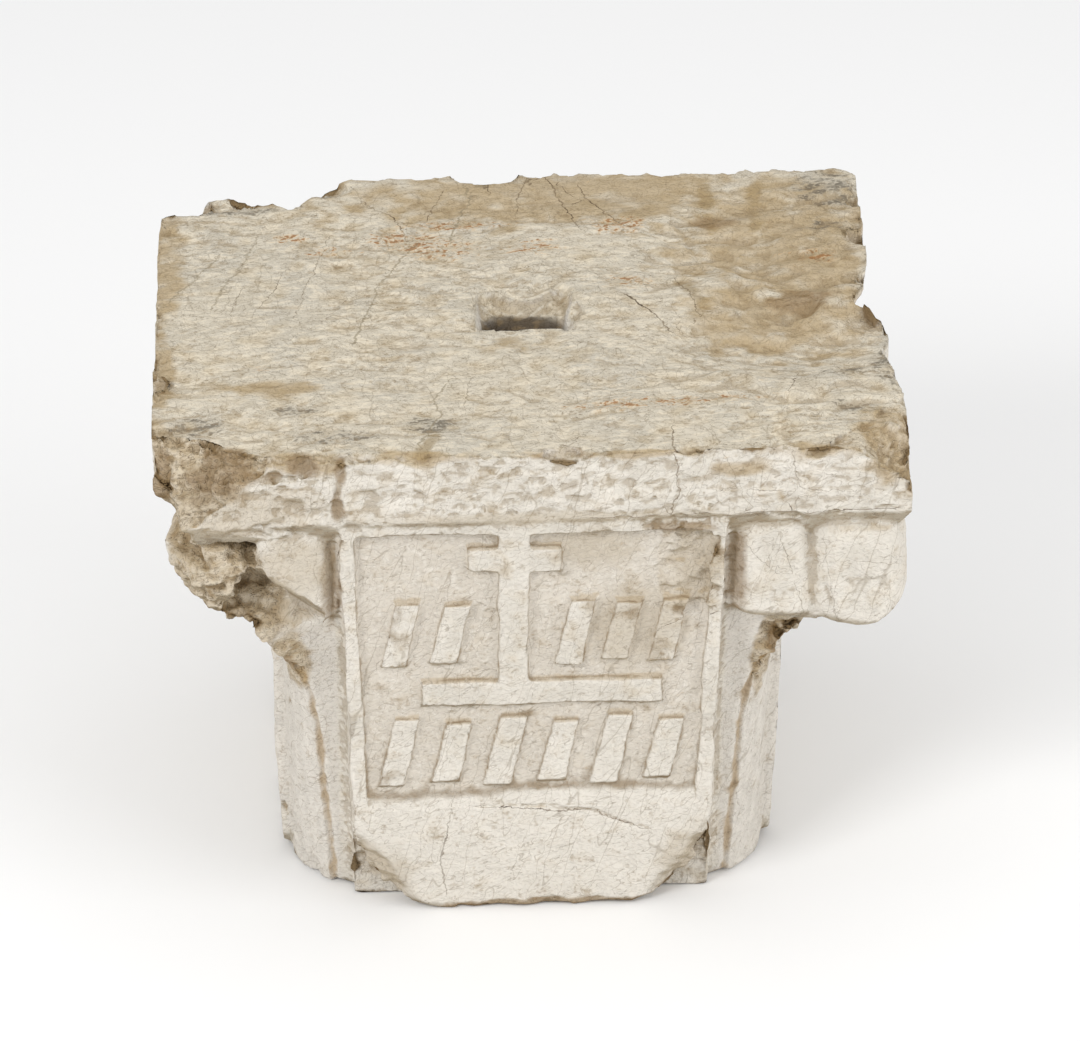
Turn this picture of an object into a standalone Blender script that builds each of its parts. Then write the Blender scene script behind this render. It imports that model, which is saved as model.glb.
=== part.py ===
"""A romanesque capital, carved from one block of limestone.

The block is a rectangular abacus over a squarish body. Each face of the body has a
flat tongue-shaped panel, and each corner has a leaf that flares out to a volute under
the abacus. The front panel has a rim, a sunk field, a raised Latin cross on a bar and
two rows of raised strokes. One corner of the abacus and its volute are broken away.

Units are metres, +Z is up, and the front faces -Y. The origin is the middle of the
underside.
"""

import math
import random

import bmesh
import bpy
from mathutils import Matrix, Vector

# Driving dimensions of the whole block.
HALF_WIDTH = 0.1945
HALF_DEPTH = 0.1585
HEIGHT = 0.292

# Abacus: an upright face, then a soffit that slopes in below it.
FACE_HEIGHT = 0.0395
SOFFIT_HEIGHT = 0.0155
SOFFIT_INSET = 0.009
FACE_BOTTOM = HEIGHT - FACE_HEIGHT
SOFFIT_BOTTOM = FACE_BOTTOM - SOFFIT_HEIGHT

# Body panels: plane offset at the bottom, and how far they lean out per metre of height.
FRONT_OFFSET = 0.1345
FRONT_LEAN = 0.086
SIDE_OFFSET = 0.1328
SIDE_LEAN = 0.030
PANEL_HALF_BOTTOM = 0.0950
PANEL_HALF_TOP = 0.1005
TONGUE_HALF_FLAT = 0.050
TONGUE_CUT_HEIGHT = 0.056
TONGUE_STEPS = 5
TONGUE_ROUNDING = 0.9
PANEL_THICKNESS = 0.030
BACKING_INSET = 0.012
BACKING_THICKNESS = 0.025
CORE_INSET = 0.020
CORE_CHAMFER = 0.026

# The side panels curve out to the overhanging ends of the abacus above this height.
FLARE_START = 0.125
FLARE_REACH = 0.038
SIDE_PANEL_HALF = 0.082
SIDE_PANEL_FLAT = 0.060
SIDE_PANEL_CUT = 0.030
SIDE_RECESS = 0.005

# Carving on the front panel. Heights are measured up the panel.
RIM = 0.0085
RELIEF = 0.0050
RELIEF_TAPER = 0.0009
STROKE = 0.0170
FIELD_BOTTOM = 0.0680
FIELD_TOP = 0.2430
FIELD_RISE = 0.0100
BAR_Z = 0.1415
BAR_HALF = 0.0640
BAR_X = 0.0050
CROSS_X = -0.0098
CROSS_TOP = 0.2470
CROSS_ARM_Z = 0.2265
CROSS_ARM_HALF = 0.0247
STROKE_SLANT = 0.20
STROKE_HALF_WIDTH = 0.0080
UPPER_ROW_Z = 0.1795
UPPER_HALF_HEIGHTS = (0.0215, 0.0195)
UPPER_ROW_X = (-0.0690, -0.0430, 0.0225, 0.0465, 0.0705)
LOWER_ROW_Z = 0.1030
LOWER_HALF_HEIGHTS = (0.0235, 0.0205)
LOWER_ROW_X = (-0.0700, -0.0420, -0.0140, 0.0140, 0.0420, 0.0700)

# Corner leaves: the ridge runs up the diagonal of the block.
RIDGE_FOOT = 0.107
RIDGE_LEAN = 0.065
RIDGE_FLARE = 0.034
RIDGE_MOST = 0.164
RIDGE_FLARE_START = 0.10
RIDGE_FLARE_HEIGHT = 0.09
LEAF_TOP = 0.239
LEAF_BROKEN_TOP = 0.205
LEAF_CURL = 0.36
LEAF_DEPTH = 0.013
LEAF_FOOT_DROP = 0.004
LEAF_FRONT_HOLLOW = 0.0040
LEAF_SIDE_SWELL = 0.0030
LEAF_ROOT = 0.060

# Volutes under the ends of the abacus.
TIP_INNER_X = 0.1430
TIP_OUTER_X = 0.1943
TIP_FRONT_Y = 0.1565
TIP_BACK_Y = 0.1050
TIP_BOTTOM = 0.1690
TIP_RISE = 0.0120
TIP_ROUNDING = 0.0155
KNUCKLE_INNER_X = 0.1080
KNUCKLE_OUTER_X = 0.1470
KNUCKLE_FRONT_Y = 0.1530
KNUCKLE_BACK_Y = 0.1000
KNUCKLE_BOTTOM = 0.1855
KNUCKLE_TAPER = 0.0050
KNUCKLE_SPLAY = 0.0300
KNUCKLE_ROUNDING = 0.0075

# What is left of the broken volute: a leaning lump.
STUMP_CENTRE = (-0.1560, -0.1200, 0.2120)
STUMP_HALF_SIZE = (0.027, 0.030, 0.044)
STUMP_LEAN = math.radians(-38)

# Dowel hole in the upper bed.
DOWEL_X = 0.0010
DOWEL_FRONT_Y = -0.0220
DOWEL_WIDTH = 0.0400
DOWEL_LENGTH = 0.0300
DOWEL_DEPTH = 0.0420
DOWEL_CORNER = (0.010, 0.008)

# Broad shallow hollow in the upper bed: an ellipsoid that dips into it.
SCOOP_CENTRE = (0.190, -0.030, HEIGHT + 0.031)
SCOOP_HALF_SIZE = (0.150, 0.066, 0.040)
SCOOP_LEAN = math.radians(-4)
SCOOP_SWING = math.radians(8)

OVERLAP = 0.004
BELOW_BED = 0.006


def empty_scene():
    for old in list(bpy.context.scene.objects):
        bpy.data.objects.remove(old, do_unlink=True)


def make_collection(name):
    collection = bpy.data.collections.new(name)
    bpy.context.scene.collection.children.link(collection)
    return collection


def add_object(name, bm, collection):
    """Turn a bmesh into an object with its faces pointing out."""
    bmesh.ops.recalc_face_normals(bm, faces=bm.faces)
    mesh = bpy.data.meshes.new(name)
    bm.to_mesh(mesh)
    bm.free()
    obj = bpy.data.objects.new(name, mesh)
    collection.objects.link(obj)
    return obj


def block(name, low, high, collection):
    """A plain box between two corners."""
    bm = bmesh.new()
    bmesh.ops.create_cube(bm, size=1.0)
    low, high = Vector(low), Vector(high)
    size = high - low
    for vert in bm.verts:
        unit = vert.co + Vector((0.5, 0.5, 0.5))
        vert.co = low + Vector((unit.x * size.x, unit.y * size.y, unit.z * size.z))
    return add_object(name, bm, collection)


def slab(name, outline, thickness, collection):
    """A flat outline in XY, extruded upwards from z = 0 to the thickness."""
    curve = bpy.data.curves.new(name, "CURVE")
    curve.dimensions = "2D"
    curve.fill_mode = "BOTH"
    curve.extrude = thickness / 2
    spline = curve.splines.new("POLY")
    spline.points.add(len(outline) - 1)
    for point, (x, y) in zip(spline.points, outline):
        point.co = (x, y, 0.0, 1.0)
    spline.use_cyclic_u = True
    source = bpy.data.objects.new(name + "_outline", curve)
    collection.objects.link(source)
    bpy.context.view_layer.update()
    evaluated = source.evaluated_get(bpy.context.evaluated_depsgraph_get())
    mesh = bpy.data.meshes.new_from_object(evaluated)
    bpy.data.objects.remove(source, do_unlink=True)
    bpy.data.curves.remove(curve)
    bm = bmesh.new()
    bm.from_mesh(mesh)
    bpy.data.meshes.remove(mesh)
    bmesh.ops.remove_doubles(bm, verts=bm.verts, dist=1e-6)
    bmesh.ops.translate(bm, verts=bm.verts, vec=(0.0, 0.0, thickness / 2))
    return add_object(name, bm, collection)


def on_panel(front):
    """The placing of a panel's own frame (X across, Y up it, Z outwards) at y = front."""
    upright = Matrix.Rotation(math.radians(90), 4, "X")
    leaning = Matrix.Rotation(math.atan(FRONT_LEAN), 4, "X")
    return Matrix.Translation((0.0, front, 0.0)) @ leaning @ upright


def stand_up(obj, front, turn):
    """Stand a slab upright with its top face at y = front, leaning, then turn it."""
    top = max(vert.co.z for vert in obj.data.vertices)
    flush = Matrix.Translation((0.0, 0.0, -top))
    obj.data.transform(Matrix.Rotation(turn, 4, "Z") @ on_panel(front) @ flush)


def loft(name, rings, collection):
    """Skin between closed rings that all have the same number of points."""
    bm = bmesh.new()
    rows = [[bm.verts.new(point) for point in ring] for ring in rings]
    count = len(rows[0])
    for lower, upper in zip(rows, rows[1:]):
        for i in range(count):
            j = (i + 1) % count
            bm.faces.new((lower[i], lower[j], upper[j], upper[i]))
    bm.faces.new(rows[0])
    bm.faces.new(rows[-1])
    return add_object(name, bm, collection)


def round_edges(obj, width, segments):
    bevel = obj.modifiers.new("Rounded edges", "BEVEL")
    bevel.width = width
    bevel.segments = segments
    bevel.limit_method = "ANGLE"
    bevel.angle_limit = math.radians(30)


def fracture(name, centre, normal, half_size, roughness, seed, collection):
    """A block whose one face is a broken stone surface through the centre, and whose
    body lies on the side the normal points to. Used to break stone away."""
    steps = 7
    depth = 2.5 * half_size
    bm = bmesh.new()
    bmesh.ops.create_grid(bm, x_segments=steps, y_segments=steps, size=half_size)
    rng = random.Random(seed)
    skin = list(bm.faces)
    for vert in bm.verts:
        vert.co.z = rng.uniform(-roughness, roughness)
        vert.co.x += rng.uniform(-0.3, 0.3) * half_size / steps
        vert.co.y += rng.uniform(-0.3, 0.3) * half_size / steps
    grown = bmesh.ops.extrude_face_region(bm, geom=skin)
    for item in grown["geom"]:
        if isinstance(item, bmesh.types.BMVert):
            item.co.z = depth
    turn = Vector((0.0, 0.0, 1.0)).rotation_difference(Vector(normal).normalized())
    place = Matrix.Translation(centre) @ turn.to_matrix().to_4x4()
    bmesh.ops.transform(bm, matrix=place, verts=bm.verts)
    return add_object(name, bm, collection)


def merge_in(target, tool, operation):
    """Unite a hidden tool with the target, or cut it away."""
    tool.hide_render = True
    tool.display_type = "WIRE"
    change = target.modifiers.new(tool.name, "BOOLEAN")
    change.object = tool
    change.operation = operation
    change.solver = "EXACT"


def front_y(z):
    return -(FRONT_OFFSET + FRONT_LEAN * z)


def side_x(z):
    flare = max(0.0, (z - FLARE_START) / (SOFFIT_BOTTOM - FLARE_START))
    return SIDE_OFFSET + SIDE_LEAN * z + FLARE_REACH * flare ** 2


def ridge(z):
    """How far out a leaf's crest stands. It curls back in behind the volute."""
    flare_top = RIDGE_FLARE_START + RIDGE_FLARE_HEIGHT
    flare = max(0.0, (z - RIDGE_FLARE_START) / RIDGE_FLARE_HEIGHT)
    curl = LEAF_CURL * max(0.0, z - flare_top)
    return min(RIDGE_MOST, RIDGE_FOOT + RIDGE_LEAN * z + RIDGE_FLARE * flare ** 2) - curl


# The abacus in plan. Its back edge is worn, a piece is gone from the back left, and the
# right end has a notch.
ABACUS_PLAN = [
    (-HALF_WIDTH, -HALF_DEPTH),
    (HALF_WIDTH, -HALF_DEPTH + 0.001),
    (0.1935, -0.1120),
    (0.1905, -0.0690),
    (0.1885, -0.0190),
    (0.1845, -0.0090),
    (0.1790, 0.0050),
    (0.1865, 0.0220),
    (0.1905, 0.0500),
    (0.1925, 0.1160),
    (0.1930, 0.1480),
    (0.1860, 0.1560),
    (0.1190, HALF_DEPTH),
    (0.0850, 0.1580),
    (0.0600, 0.1540),
    (0.0180, 0.1570),
    (-0.0320, 0.1550),
    (-0.0870, 0.1550),
    (-0.1060, 0.1420),
    (-0.1200, 0.1210),
    (-0.1480, 0.1290),
    (-0.1670, 0.1260),
    (-0.1780, 0.1150),
    (-0.1920, 0.1160),
    (-0.1930, 0.0300),
]


def make_abacus(collection):
    """The upright face and the sloping soffit below it, from one plan."""
    abacus = slab("abacus", ABACUS_PLAN, FACE_HEIGHT, collection)
    abacus.data.transform(Matrix.Translation((0.0, 0.0, FACE_BOTTOM)))
    bm = bmesh.new()
    bm.from_mesh(abacus.data)
    low = [face for face in bm.faces if face.calc_center_median().z < FACE_BOTTOM + 1e-5]
    bottom = bmesh.ops.extrude_face_region(bm, geom=low)
    moved = [item for item in bottom["geom"] if isinstance(item, bmesh.types.BMVert)]
    shrink_x = 1.0 - SOFFIT_INSET / HALF_WIDTH
    shrink_y = 1.0 - SOFFIT_INSET / HALF_DEPTH
    for vert in moved:
        vert.co.x *= shrink_x
        vert.co.y *= shrink_y
        vert.co.z = SOFFIT_BOTTOM
    bmesh.ops.delete(bm, geom=low, context="FACES")
    bmesh.ops.recalc_face_normals(bm, faces=bm.faces)
    bm.to_mesh(abacus.data)
    bm.free()
    return abacus


def make_core(collection):
    """The chamfered square core that the panels and leaves stand against."""
    def ring(z):
        x = side_x(z) - CORE_INSET
        y = -front_y(z) - CORE_INSET
        cut = CORE_CHAMFER
        corner = [(x, -y + cut), (x, y - cut), (x - cut, y), (-x + cut, y),
                  (-x, y - cut), (-x, -y + cut), (-x + cut, -y), (x - cut, -y)]
        return [(px, py, z) for px, py in corner]
    levels = [-BELOW_BED, FLARE_START, 0.150, 0.190, SOFFIT_BOTTOM + OVERLAP]
    return loft("core", [ring(z) for z in levels], collection)


def tongue_outline(height):
    """A panel's front outline: parallel sides, and bottom corners cut off in a curve."""
    right = [(TONGUE_HALF_FLAT, -2 * BELOW_BED)]
    cut_width = PANEL_HALF_BOTTOM - TONGUE_HALF_FLAT
    for i in range(TONGUE_STEPS + 1):
        angle = i / TONGUE_STEPS * math.pi / 2
        across = math.sin(angle) ** TONGUE_ROUNDING
        up = (1.0 - math.cos(angle)) ** TONGUE_ROUNDING
        right.append((TONGUE_HALF_FLAT + cut_width * across, TONGUE_CUT_HEIGHT * up))
    right.append((PANEL_HALF_TOP, height))
    left = [(-x, z) for x, z in reversed(right)]
    return right + left


def make_front_panel(name, turn, collection):
    """A leaning panel on the front or the back of the body."""
    height = FACE_BOTTOM + OVERLAP
    panel = slab(name, tongue_outline(height), PANEL_THICKNESS, collection)
    stand_up(panel, -FRONT_OFFSET, turn)
    return panel


def make_backing(name, turn, collection):
    """The full-width strip that shows behind a panel's cut corners."""
    bottom = PANEL_HALF_BOTTOM
    outline = [(-bottom, -2 * BELOW_BED), (bottom, -2 * BELOW_BED),
               (PANEL_HALF_TOP - 0.001, FACE_BOTTOM), (-PANEL_HALF_TOP + 0.001, FACE_BOTTOM)]
    backing = slab(name, outline, BACKING_THICKNESS, collection)
    stand_up(backing, -FRONT_OFFSET + BACKING_INSET, turn)
    return backing


def make_side_panel(name, side, collection):
    """A panel on the left or right face, which curves out to the abacus at its top."""
    def ring(z):
        t = min(1.0, max(0.0, z) / SIDE_PANEL_CUT)
        width = SIDE_PANEL_FLAT
        width += (SIDE_PANEL_HALF - SIDE_PANEL_FLAT) * math.sin(math.acos(1.0 - t))
        outer = side_x(z)
        inner = outer - PANEL_THICKNESS
        plan = [(inner, -width), (outer, -width), (outer, width), (inner, width)]
        return [(side * x, y, z) for x, y in plan]
    cut = [-BELOW_BED]
    cut += [SIDE_PANEL_CUT * (1.0 - math.cos(i * math.pi / 10)) for i in range(6)]
    rise = [FLARE_START + (SOFFIT_BOTTOM + OVERLAP - FLARE_START) * i / 6 for i in range(7)]
    return loft(name, [ring(z) for z in cut + rise], collection)


def make_leaf(name, side, front, top, collection):
    """A corner leaf: two hollowed faces that meet in a ridge on the diagonal."""
    def ring(z):
        top_r = ridge(z)
        foot_y = -front_y(z) - LEAF_DEPTH - LEAF_FOOT_DROP * max(0.0, 1.0 - z / 0.05)
        foot_x = SIDE_OFFSET + SIDE_LEAN * z - SIDE_RECESS
        crest = (top_r, top_r)
        front_foot = (PANEL_HALF_BOTTOM - 0.001, foot_y)
        side_foot = (foot_x, SIDE_PANEL_HALF - OVERLAP)
        points = [(LEAF_ROOT, LEAF_ROOT), (LEAF_ROOT, foot_y)]
        points += hollow(front_foot, crest, LEAF_FRONT_HOLLOW)
        points += hollow(crest, side_foot, -LEAF_SIDE_SWELL)[1:]
        points += [(foot_x, LEAF_ROOT)]
        return [(side * x, front * y, z) for x, y in points]
    levels = [-BELOW_BED, 0.050, 0.100, 0.125, 0.145, 0.160, 0.175, 0.190, top]
    return loft(name, [ring(z) for z in levels], collection)


def hollow(start, end, depth):
    """Five points from start to end along a curve that dips towards the centre."""
    points = []
    for i in range(5):
        t = i / 4
        dip = depth * math.sin(t * math.pi)
        x = start[0] + (end[0] - start[0]) * t - dip
        y = start[1] + (end[1] - start[1]) * t - dip
        points.append((x, y))
    return points


def make_tip(name, side, front, collection):
    """The fat drooping tip of a volute, under the corner of the abacus. It hangs
    lowest at its outer front corner."""
    tip = block(name, (TIP_INNER_X, TIP_BACK_Y, TIP_BOTTOM),
                (TIP_OUTER_X, TIP_FRONT_Y, SOFFIT_BOTTOM + 3 * OVERLAP), collection)
    for vert in tip.data.vertices:
        outer = vert.co.x > (TIP_INNER_X + TIP_OUTER_X) / 2
        forward = vert.co.y > (TIP_BACK_Y + TIP_FRONT_Y) / 2
        if vert.co.z < SOFFIT_BOTTOM:
            vert.co.z += TIP_RISE * ((not outer) + (not forward))
        elif outer:
            vert.co.x -= 0.003
    mirror_into(tip, side, front)
    round_edges(tip, TIP_ROUNDING, 4)
    return tip


def make_knuckle(name, side, front, collection):
    """The smaller inner block of a volute, between its tip and the panel."""
    top = SOFFIT_BOTTOM + 2.5 * OVERLAP
    knuckle = block(name, (KNUCKLE_INNER_X, KNUCKLE_BACK_Y, KNUCKLE_BOTTOM),
                    (KNUCKLE_OUTER_X, KNUCKLE_FRONT_Y, top), collection)
    for vert in knuckle.data.vertices:
        outer = vert.co.x > (KNUCKLE_INNER_X + KNUCKLE_OUTER_X) / 2
        forward = vert.co.y > (KNUCKLE_BACK_Y + KNUCKLE_FRONT_Y) / 2
        if outer and vert.co.z > SOFFIT_BOTTOM:
            vert.co.x -= KNUCKLE_TAPER
        if not outer and not forward:
            vert.co.x -= KNUCKLE_SPLAY
    mirror_into(knuckle, side, front)
    round_edges(knuckle, KNUCKLE_ROUNDING, 3)
    return knuckle


def make_stump(collection):
    """The root of the broken front left volute: a rough lump that slopes inwards."""
    bm = bmesh.new()
    bmesh.ops.create_icosphere(bm, subdivisions=3, radius=1.0)
    rng = random.Random(21)
    for vert in bm.verts:
        vert.co *= rng.uniform(0.93, 1.03)
    size = Matrix.Diagonal((*STUMP_HALF_SIZE, 1.0))
    lean = Matrix.Rotation(STUMP_LEAN, 4, "Y")
    place = Matrix.Translation(STUMP_CENTRE)
    bmesh.ops.transform(bm, matrix=place @ lean @ size, verts=bm.verts)
    return add_object("stump", bm, collection)


def mirror_into(obj, side, front):
    """Move a piece made at the back right into its own corner of the block."""
    obj.data.transform(Matrix.Diagonal((side, front, 1.0, 1.0)))
    if side * front < 0:
        obj.data.flip_normals()


def panel_bar(bm, centre_x, centre_z, half_x, half_z, slant=0.0, drop=0.0):
    """One raised bar in a panel's own frame: X across, Y up the panel, Z outwards."""
    made = bmesh.ops.create_cube(bm, size=2.0)
    for vert in made["verts"]:
        outward = vert.co.z > 0
        inset = RELIEF_TAPER if outward else 0.0
        x = vert.co.x * (half_x - inset)
        y = vert.co.y * (half_z - inset)
        x += slant * y
        z = -drop if outward else -RELIEF - OVERLAP
        vert.co = (centre_x + x, centre_z + y, z)


def make_relief(collection):
    """The cross on its bar, and two rows of slanting strokes beside and below it."""
    half = STROKE / 2
    stem_bottom = BAR_Z + half - 0.003
    stem_mid = (CROSS_TOP + stem_bottom) / 2
    bm = bmesh.new()
    panel_bar(bm, CROSS_X, stem_mid, half, (CROSS_TOP - stem_bottom) / 2)
    cross = add_object("cross_stem", bm, collection)
    bm = bmesh.new()
    panel_bar(bm, CROSS_X, CROSS_ARM_Z, CROSS_ARM_HALF, half, drop=0.0003)
    arm = add_object("cross_arm", bm, collection)
    bm = bmesh.new()
    panel_bar(bm, BAR_X, BAR_Z, BAR_HALF, half, drop=0.0004)
    bar = add_object("bar", bm, collection)
    bm = bmesh.new()
    rows = ((UPPER_ROW_X, UPPER_ROW_Z, UPPER_HALF_HEIGHTS),
            (LOWER_ROW_X, LOWER_ROW_Z, LOWER_HALF_HEIGHTS))
    for row_x, row_z, half_heights in rows:
        for i, x in enumerate(row_x):
            panel_bar(bm, x, row_z, STROKE_HALF_WIDTH, half_heights[i % 2], STROKE_SLANT, 0.0006)
    strokes = add_object("strokes", bm, collection)
    tools = [cross, arm, bar, strokes]
    for tool in tools:
        tool.data.transform(on_panel(-FRONT_OFFSET))
    return tools


def make_field(collection):
    """The cutter that sinks the field of the front panel inside its rim. The field is
    shallowest at the bottom, where it runs out into the plain tongue."""
    bottom = PANEL_HALF_BOTTOM - RIM
    top = PANEL_HALF_TOP - RIM
    outline = [(-bottom, FIELD_BOTTOM), (bottom, FIELD_BOTTOM),
               (top, FIELD_TOP), (-top, FIELD_TOP)]
    depth = 0.040
    field = slab("field", outline, depth, collection)
    for vert in field.data.vertices:
        if vert.co.z < depth / 2:
            vert.co.z += FIELD_RISE * (FIELD_TOP - vert.co.y)
    field.data.transform(on_panel(-FRONT_OFFSET + RELIEF))
    return field


def make_dowel_hole(collection):
    """A hole with an upright wall in front and a scooped back. It grows towards its
    mouth, mostly backwards."""
    low_x = DOWEL_X - DOWEL_WIDTH / 2
    high_x = DOWEL_X + DOWEL_WIDTH / 2
    top = HEIGHT + 0.010
    floor = HEIGHT - DOWEL_DEPTH

    def ring(z, grow):
        back = DOWEL_FRONT_Y + DOWEL_LENGTH + grow
        front = DOWEL_FRONT_Y
        x0 = low_x - 0.25 * grow
        x1 = high_x + 0.35 * grow
        cut_x, cut_y = DOWEL_CORNER
        plan = [(x0, front), (x1, front), (x1, back - cut_y), (x1 - cut_x, back),
                (x0 + cut_x, back), (x0, back - cut_y)]
        return [(x, y, z) for x, y in plan]
    steps = [(floor, 0.0), (HEIGHT - 0.020, 0.002), (HEIGHT - 0.010, 0.008),
             (HEIGHT - 0.003, 0.018), (top, 0.027)]
    return loft("dowel_hole", [ring(z, grow) for z, grow in steps], collection)


def make_scoop(collection):
    """A broad shallow hollow in the upper bed, from the notch towards the middle."""
    bm = bmesh.new()
    bmesh.ops.create_uvsphere(bm, u_segments=24, v_segments=12, radius=1.0)
    size = Matrix.Diagonal((*SCOOP_HALF_SIZE, 1.0))
    lean = Matrix.Rotation(SCOOP_LEAN, 4, "Y")
    swing = Matrix.Rotation(SCOOP_SWING, 4, "Z")
    place = Matrix.Translation(SCOOP_CENTRE)
    bmesh.ops.transform(bm, matrix=place @ swing @ lean @ size, verts=bm.verts)
    return add_object("scoop", bm, collection)


def make_breaks(collection):
    """Everything that has broken away from the finished carving."""
    return [
        # The front left corner of the abacus: a facet on the front and one on the end.
        fracture("break_corner_front", (-0.1720, -0.1468, 0.2795), (-0.434, -0.753, 0.490),
                 0.060, 0.0018, 3, collection),
        fracture("break_corner_end", (-0.1885, -0.1400, 0.2600), (-0.85, -0.25, -0.46),
                 0.036, 0.0018, 5, collection),
        # The inner block beside its broken volute, split off in a slope.
        fracture("break_knuckle", (-0.1270, -0.1500, 0.2090), (-0.525, -0.458, -0.717),
                 0.024, 0.0004, 9, collection),
        # The front right corner, chipped along its top edge.
        fracture("chip_right", (0.1820, -0.1400, 0.2860), (0.48, -0.43, 0.76),
                 0.040, 0.0014, 11, collection),
        # The back left corner, with the outer half of the volute below it.
        fracture("break_back", (-0.1500, 0.1300, 0.2450), (-0.30, 0.95, -0.05),
                 0.070, 0.0022, 13, collection),
    ]


def stone_material():
    material = bpy.data.materials.new("Weathered limestone")
    material.use_nodes = True
    shader = material.node_tree.nodes["Principled BSDF"]
    shader.inputs["Base Color"].default_value = (0.68, 0.62, 0.51, 1.0)
    shader.inputs["Roughness"].default_value = 0.85
    shader.inputs["Metallic"].default_value = 0.0
    return material


def main():
    empty_scene()
    work = make_collection("Romanesque capital")
    tools = make_collection("Shaping tools")

    capital = make_core(work)
    capital.name = "capital"
    capital.data.name = "capital"
    capital.data.materials.append(stone_material())

    added = [make_abacus(tools)]
    added.append(make_front_panel("panel_front", 0.0, tools))
    added.append(make_front_panel("panel_back", math.pi, tools))
    added.append(make_backing("backing_front", 0.0, tools))
    added.append(make_backing("backing_back", math.pi, tools))
    added.append(make_side_panel("panel_left", -1, tools))
    added.append(make_side_panel("panel_right", 1, tools))
    for side, front in ((-1, -1), (1, -1), (-1, 1), (1, 1)):
        where = ("left" if side < 0 else "right") + ("_front" if front < 0 else "_back")
        broken = where == "left_front"
        leaf_top = LEAF_BROKEN_TOP if broken else LEAF_TOP
        added.append(make_leaf("leaf_" + where, side, front, leaf_top, tools))
        if broken:
            added.append(make_stump(tools))
        else:
            added.append(make_tip("tip_" + where, side, front, tools))
        added.append(make_knuckle("knuckle_" + where, side, front, tools))
    for tool in added:
        merge_in(capital, tool, "UNION")

    merge_in(capital, make_field(tools), "DIFFERENCE")
    for tool in make_relief(tools):
        merge_in(capital, tool, "UNION")
    for tool in [make_dowel_hole(tools), make_scoop(tools)] + make_breaks(tools):
        merge_in(capital, tool, "DIFFERENCE")
    underside = block("bed_cut", (-0.3, -0.3, -0.2), (0.3, 0.3, 0.0), tools)
    merge_in(capital, underside, "DIFFERENCE")


main()
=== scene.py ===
# %% [markdown]
# # A weathered Romanesque capital
# One block of pale limestone, carved about eight hundred years ago and broken since.
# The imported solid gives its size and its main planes. This lesson turns a copy of it into
# weathered stone: first the shape, by moving the points of a fine mesh as a sculptor
# would, and then the finish, with one procedural material.

import math

import bpy
import numpy as np
from mathutils import Matrix, Vector
from mathutils.bvhtree import BVHTree


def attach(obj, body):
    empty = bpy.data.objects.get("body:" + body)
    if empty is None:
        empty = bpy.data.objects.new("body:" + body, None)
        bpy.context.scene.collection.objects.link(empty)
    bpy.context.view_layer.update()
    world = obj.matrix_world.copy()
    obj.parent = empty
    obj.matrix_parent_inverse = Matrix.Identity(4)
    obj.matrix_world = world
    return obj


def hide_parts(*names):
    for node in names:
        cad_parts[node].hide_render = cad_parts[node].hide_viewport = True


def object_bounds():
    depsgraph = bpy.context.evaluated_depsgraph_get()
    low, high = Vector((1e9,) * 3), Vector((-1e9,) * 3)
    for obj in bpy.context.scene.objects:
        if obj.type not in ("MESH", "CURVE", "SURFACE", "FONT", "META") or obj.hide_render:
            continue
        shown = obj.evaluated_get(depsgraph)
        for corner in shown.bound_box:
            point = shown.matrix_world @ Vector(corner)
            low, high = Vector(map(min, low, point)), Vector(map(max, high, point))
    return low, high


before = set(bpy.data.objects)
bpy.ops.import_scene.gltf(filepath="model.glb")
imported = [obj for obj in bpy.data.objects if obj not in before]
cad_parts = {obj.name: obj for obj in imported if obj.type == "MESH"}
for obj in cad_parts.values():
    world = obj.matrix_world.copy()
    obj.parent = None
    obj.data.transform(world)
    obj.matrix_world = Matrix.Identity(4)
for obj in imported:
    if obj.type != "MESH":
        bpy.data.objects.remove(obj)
cad_low, cad_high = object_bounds()
LOW, HIGH = np.array(cad_low), np.array(cad_high)
LEFT, RIGHT, FRONT, TOP = LOW[0], HIGH[0], LOW[1], HIGH[2]
MM = 1000  # millimetres in a metre; all lengths below are metres unless a comment says so
print("the block is", [round(MM * side) for side in HIGH - LOW], "mm")

# %% [markdown]
# ## A fine mesh to carve
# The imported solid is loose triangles, so a copy is merged first. A voxel remesh then
# gives it even quads a little over a millimetre wide, which hold a chip or a chisel mark
# anywhere. Numpy moves the points, because that many would take minutes one by one.

# %% A merged and remeshed copy
VOXEL = 0.00125
SAME_POINT = 0.00001


def only(obj):
    """Select one object and make it active."""
    bpy.ops.object.select_all(action="DESELECT")
    obj.select_set(True)
    bpy.context.view_layer.objects.active = obj


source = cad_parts["capital"]
stone = bpy.data.objects.new("capital_stone", source.data.copy())
bpy.context.scene.collection.objects.link(stone)
only(stone)
bpy.ops.object.mode_set(mode="EDIT")
bpy.ops.mesh.select_all(action="SELECT")
bpy.ops.mesh.remove_doubles(threshold=SAME_POINT)
bpy.ops.object.mode_set(mode="OBJECT")
remesh = stone.modifiers.new("Even quads", "REMESH")
remesh.mode = "VOXEL"
remesh.voxel_size = VOXEL
bpy.ops.object.modifier_apply(modifier=remesh.name)
print("remeshed to", len(stone.data.vertices), "points")

# %% [markdown]
# Numpy needs the mesh as arrays: where the points are, which way the surface faces there,
# and which points are neighbours. Two soft masks are used all through the lesson. One fades
# between two values, and the other picks out an ellipsoid.

# %% Points, normals and neighbours as arrays


def read(items, name, width):
    """One property of all vertices, edges or faces, as an array."""
    kind = np.int32 if name == "vertices" else np.float32
    values = np.empty(len(items) * width, kind)
    items.foreach_get(name, values)
    return values.reshape(-1, width)


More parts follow.
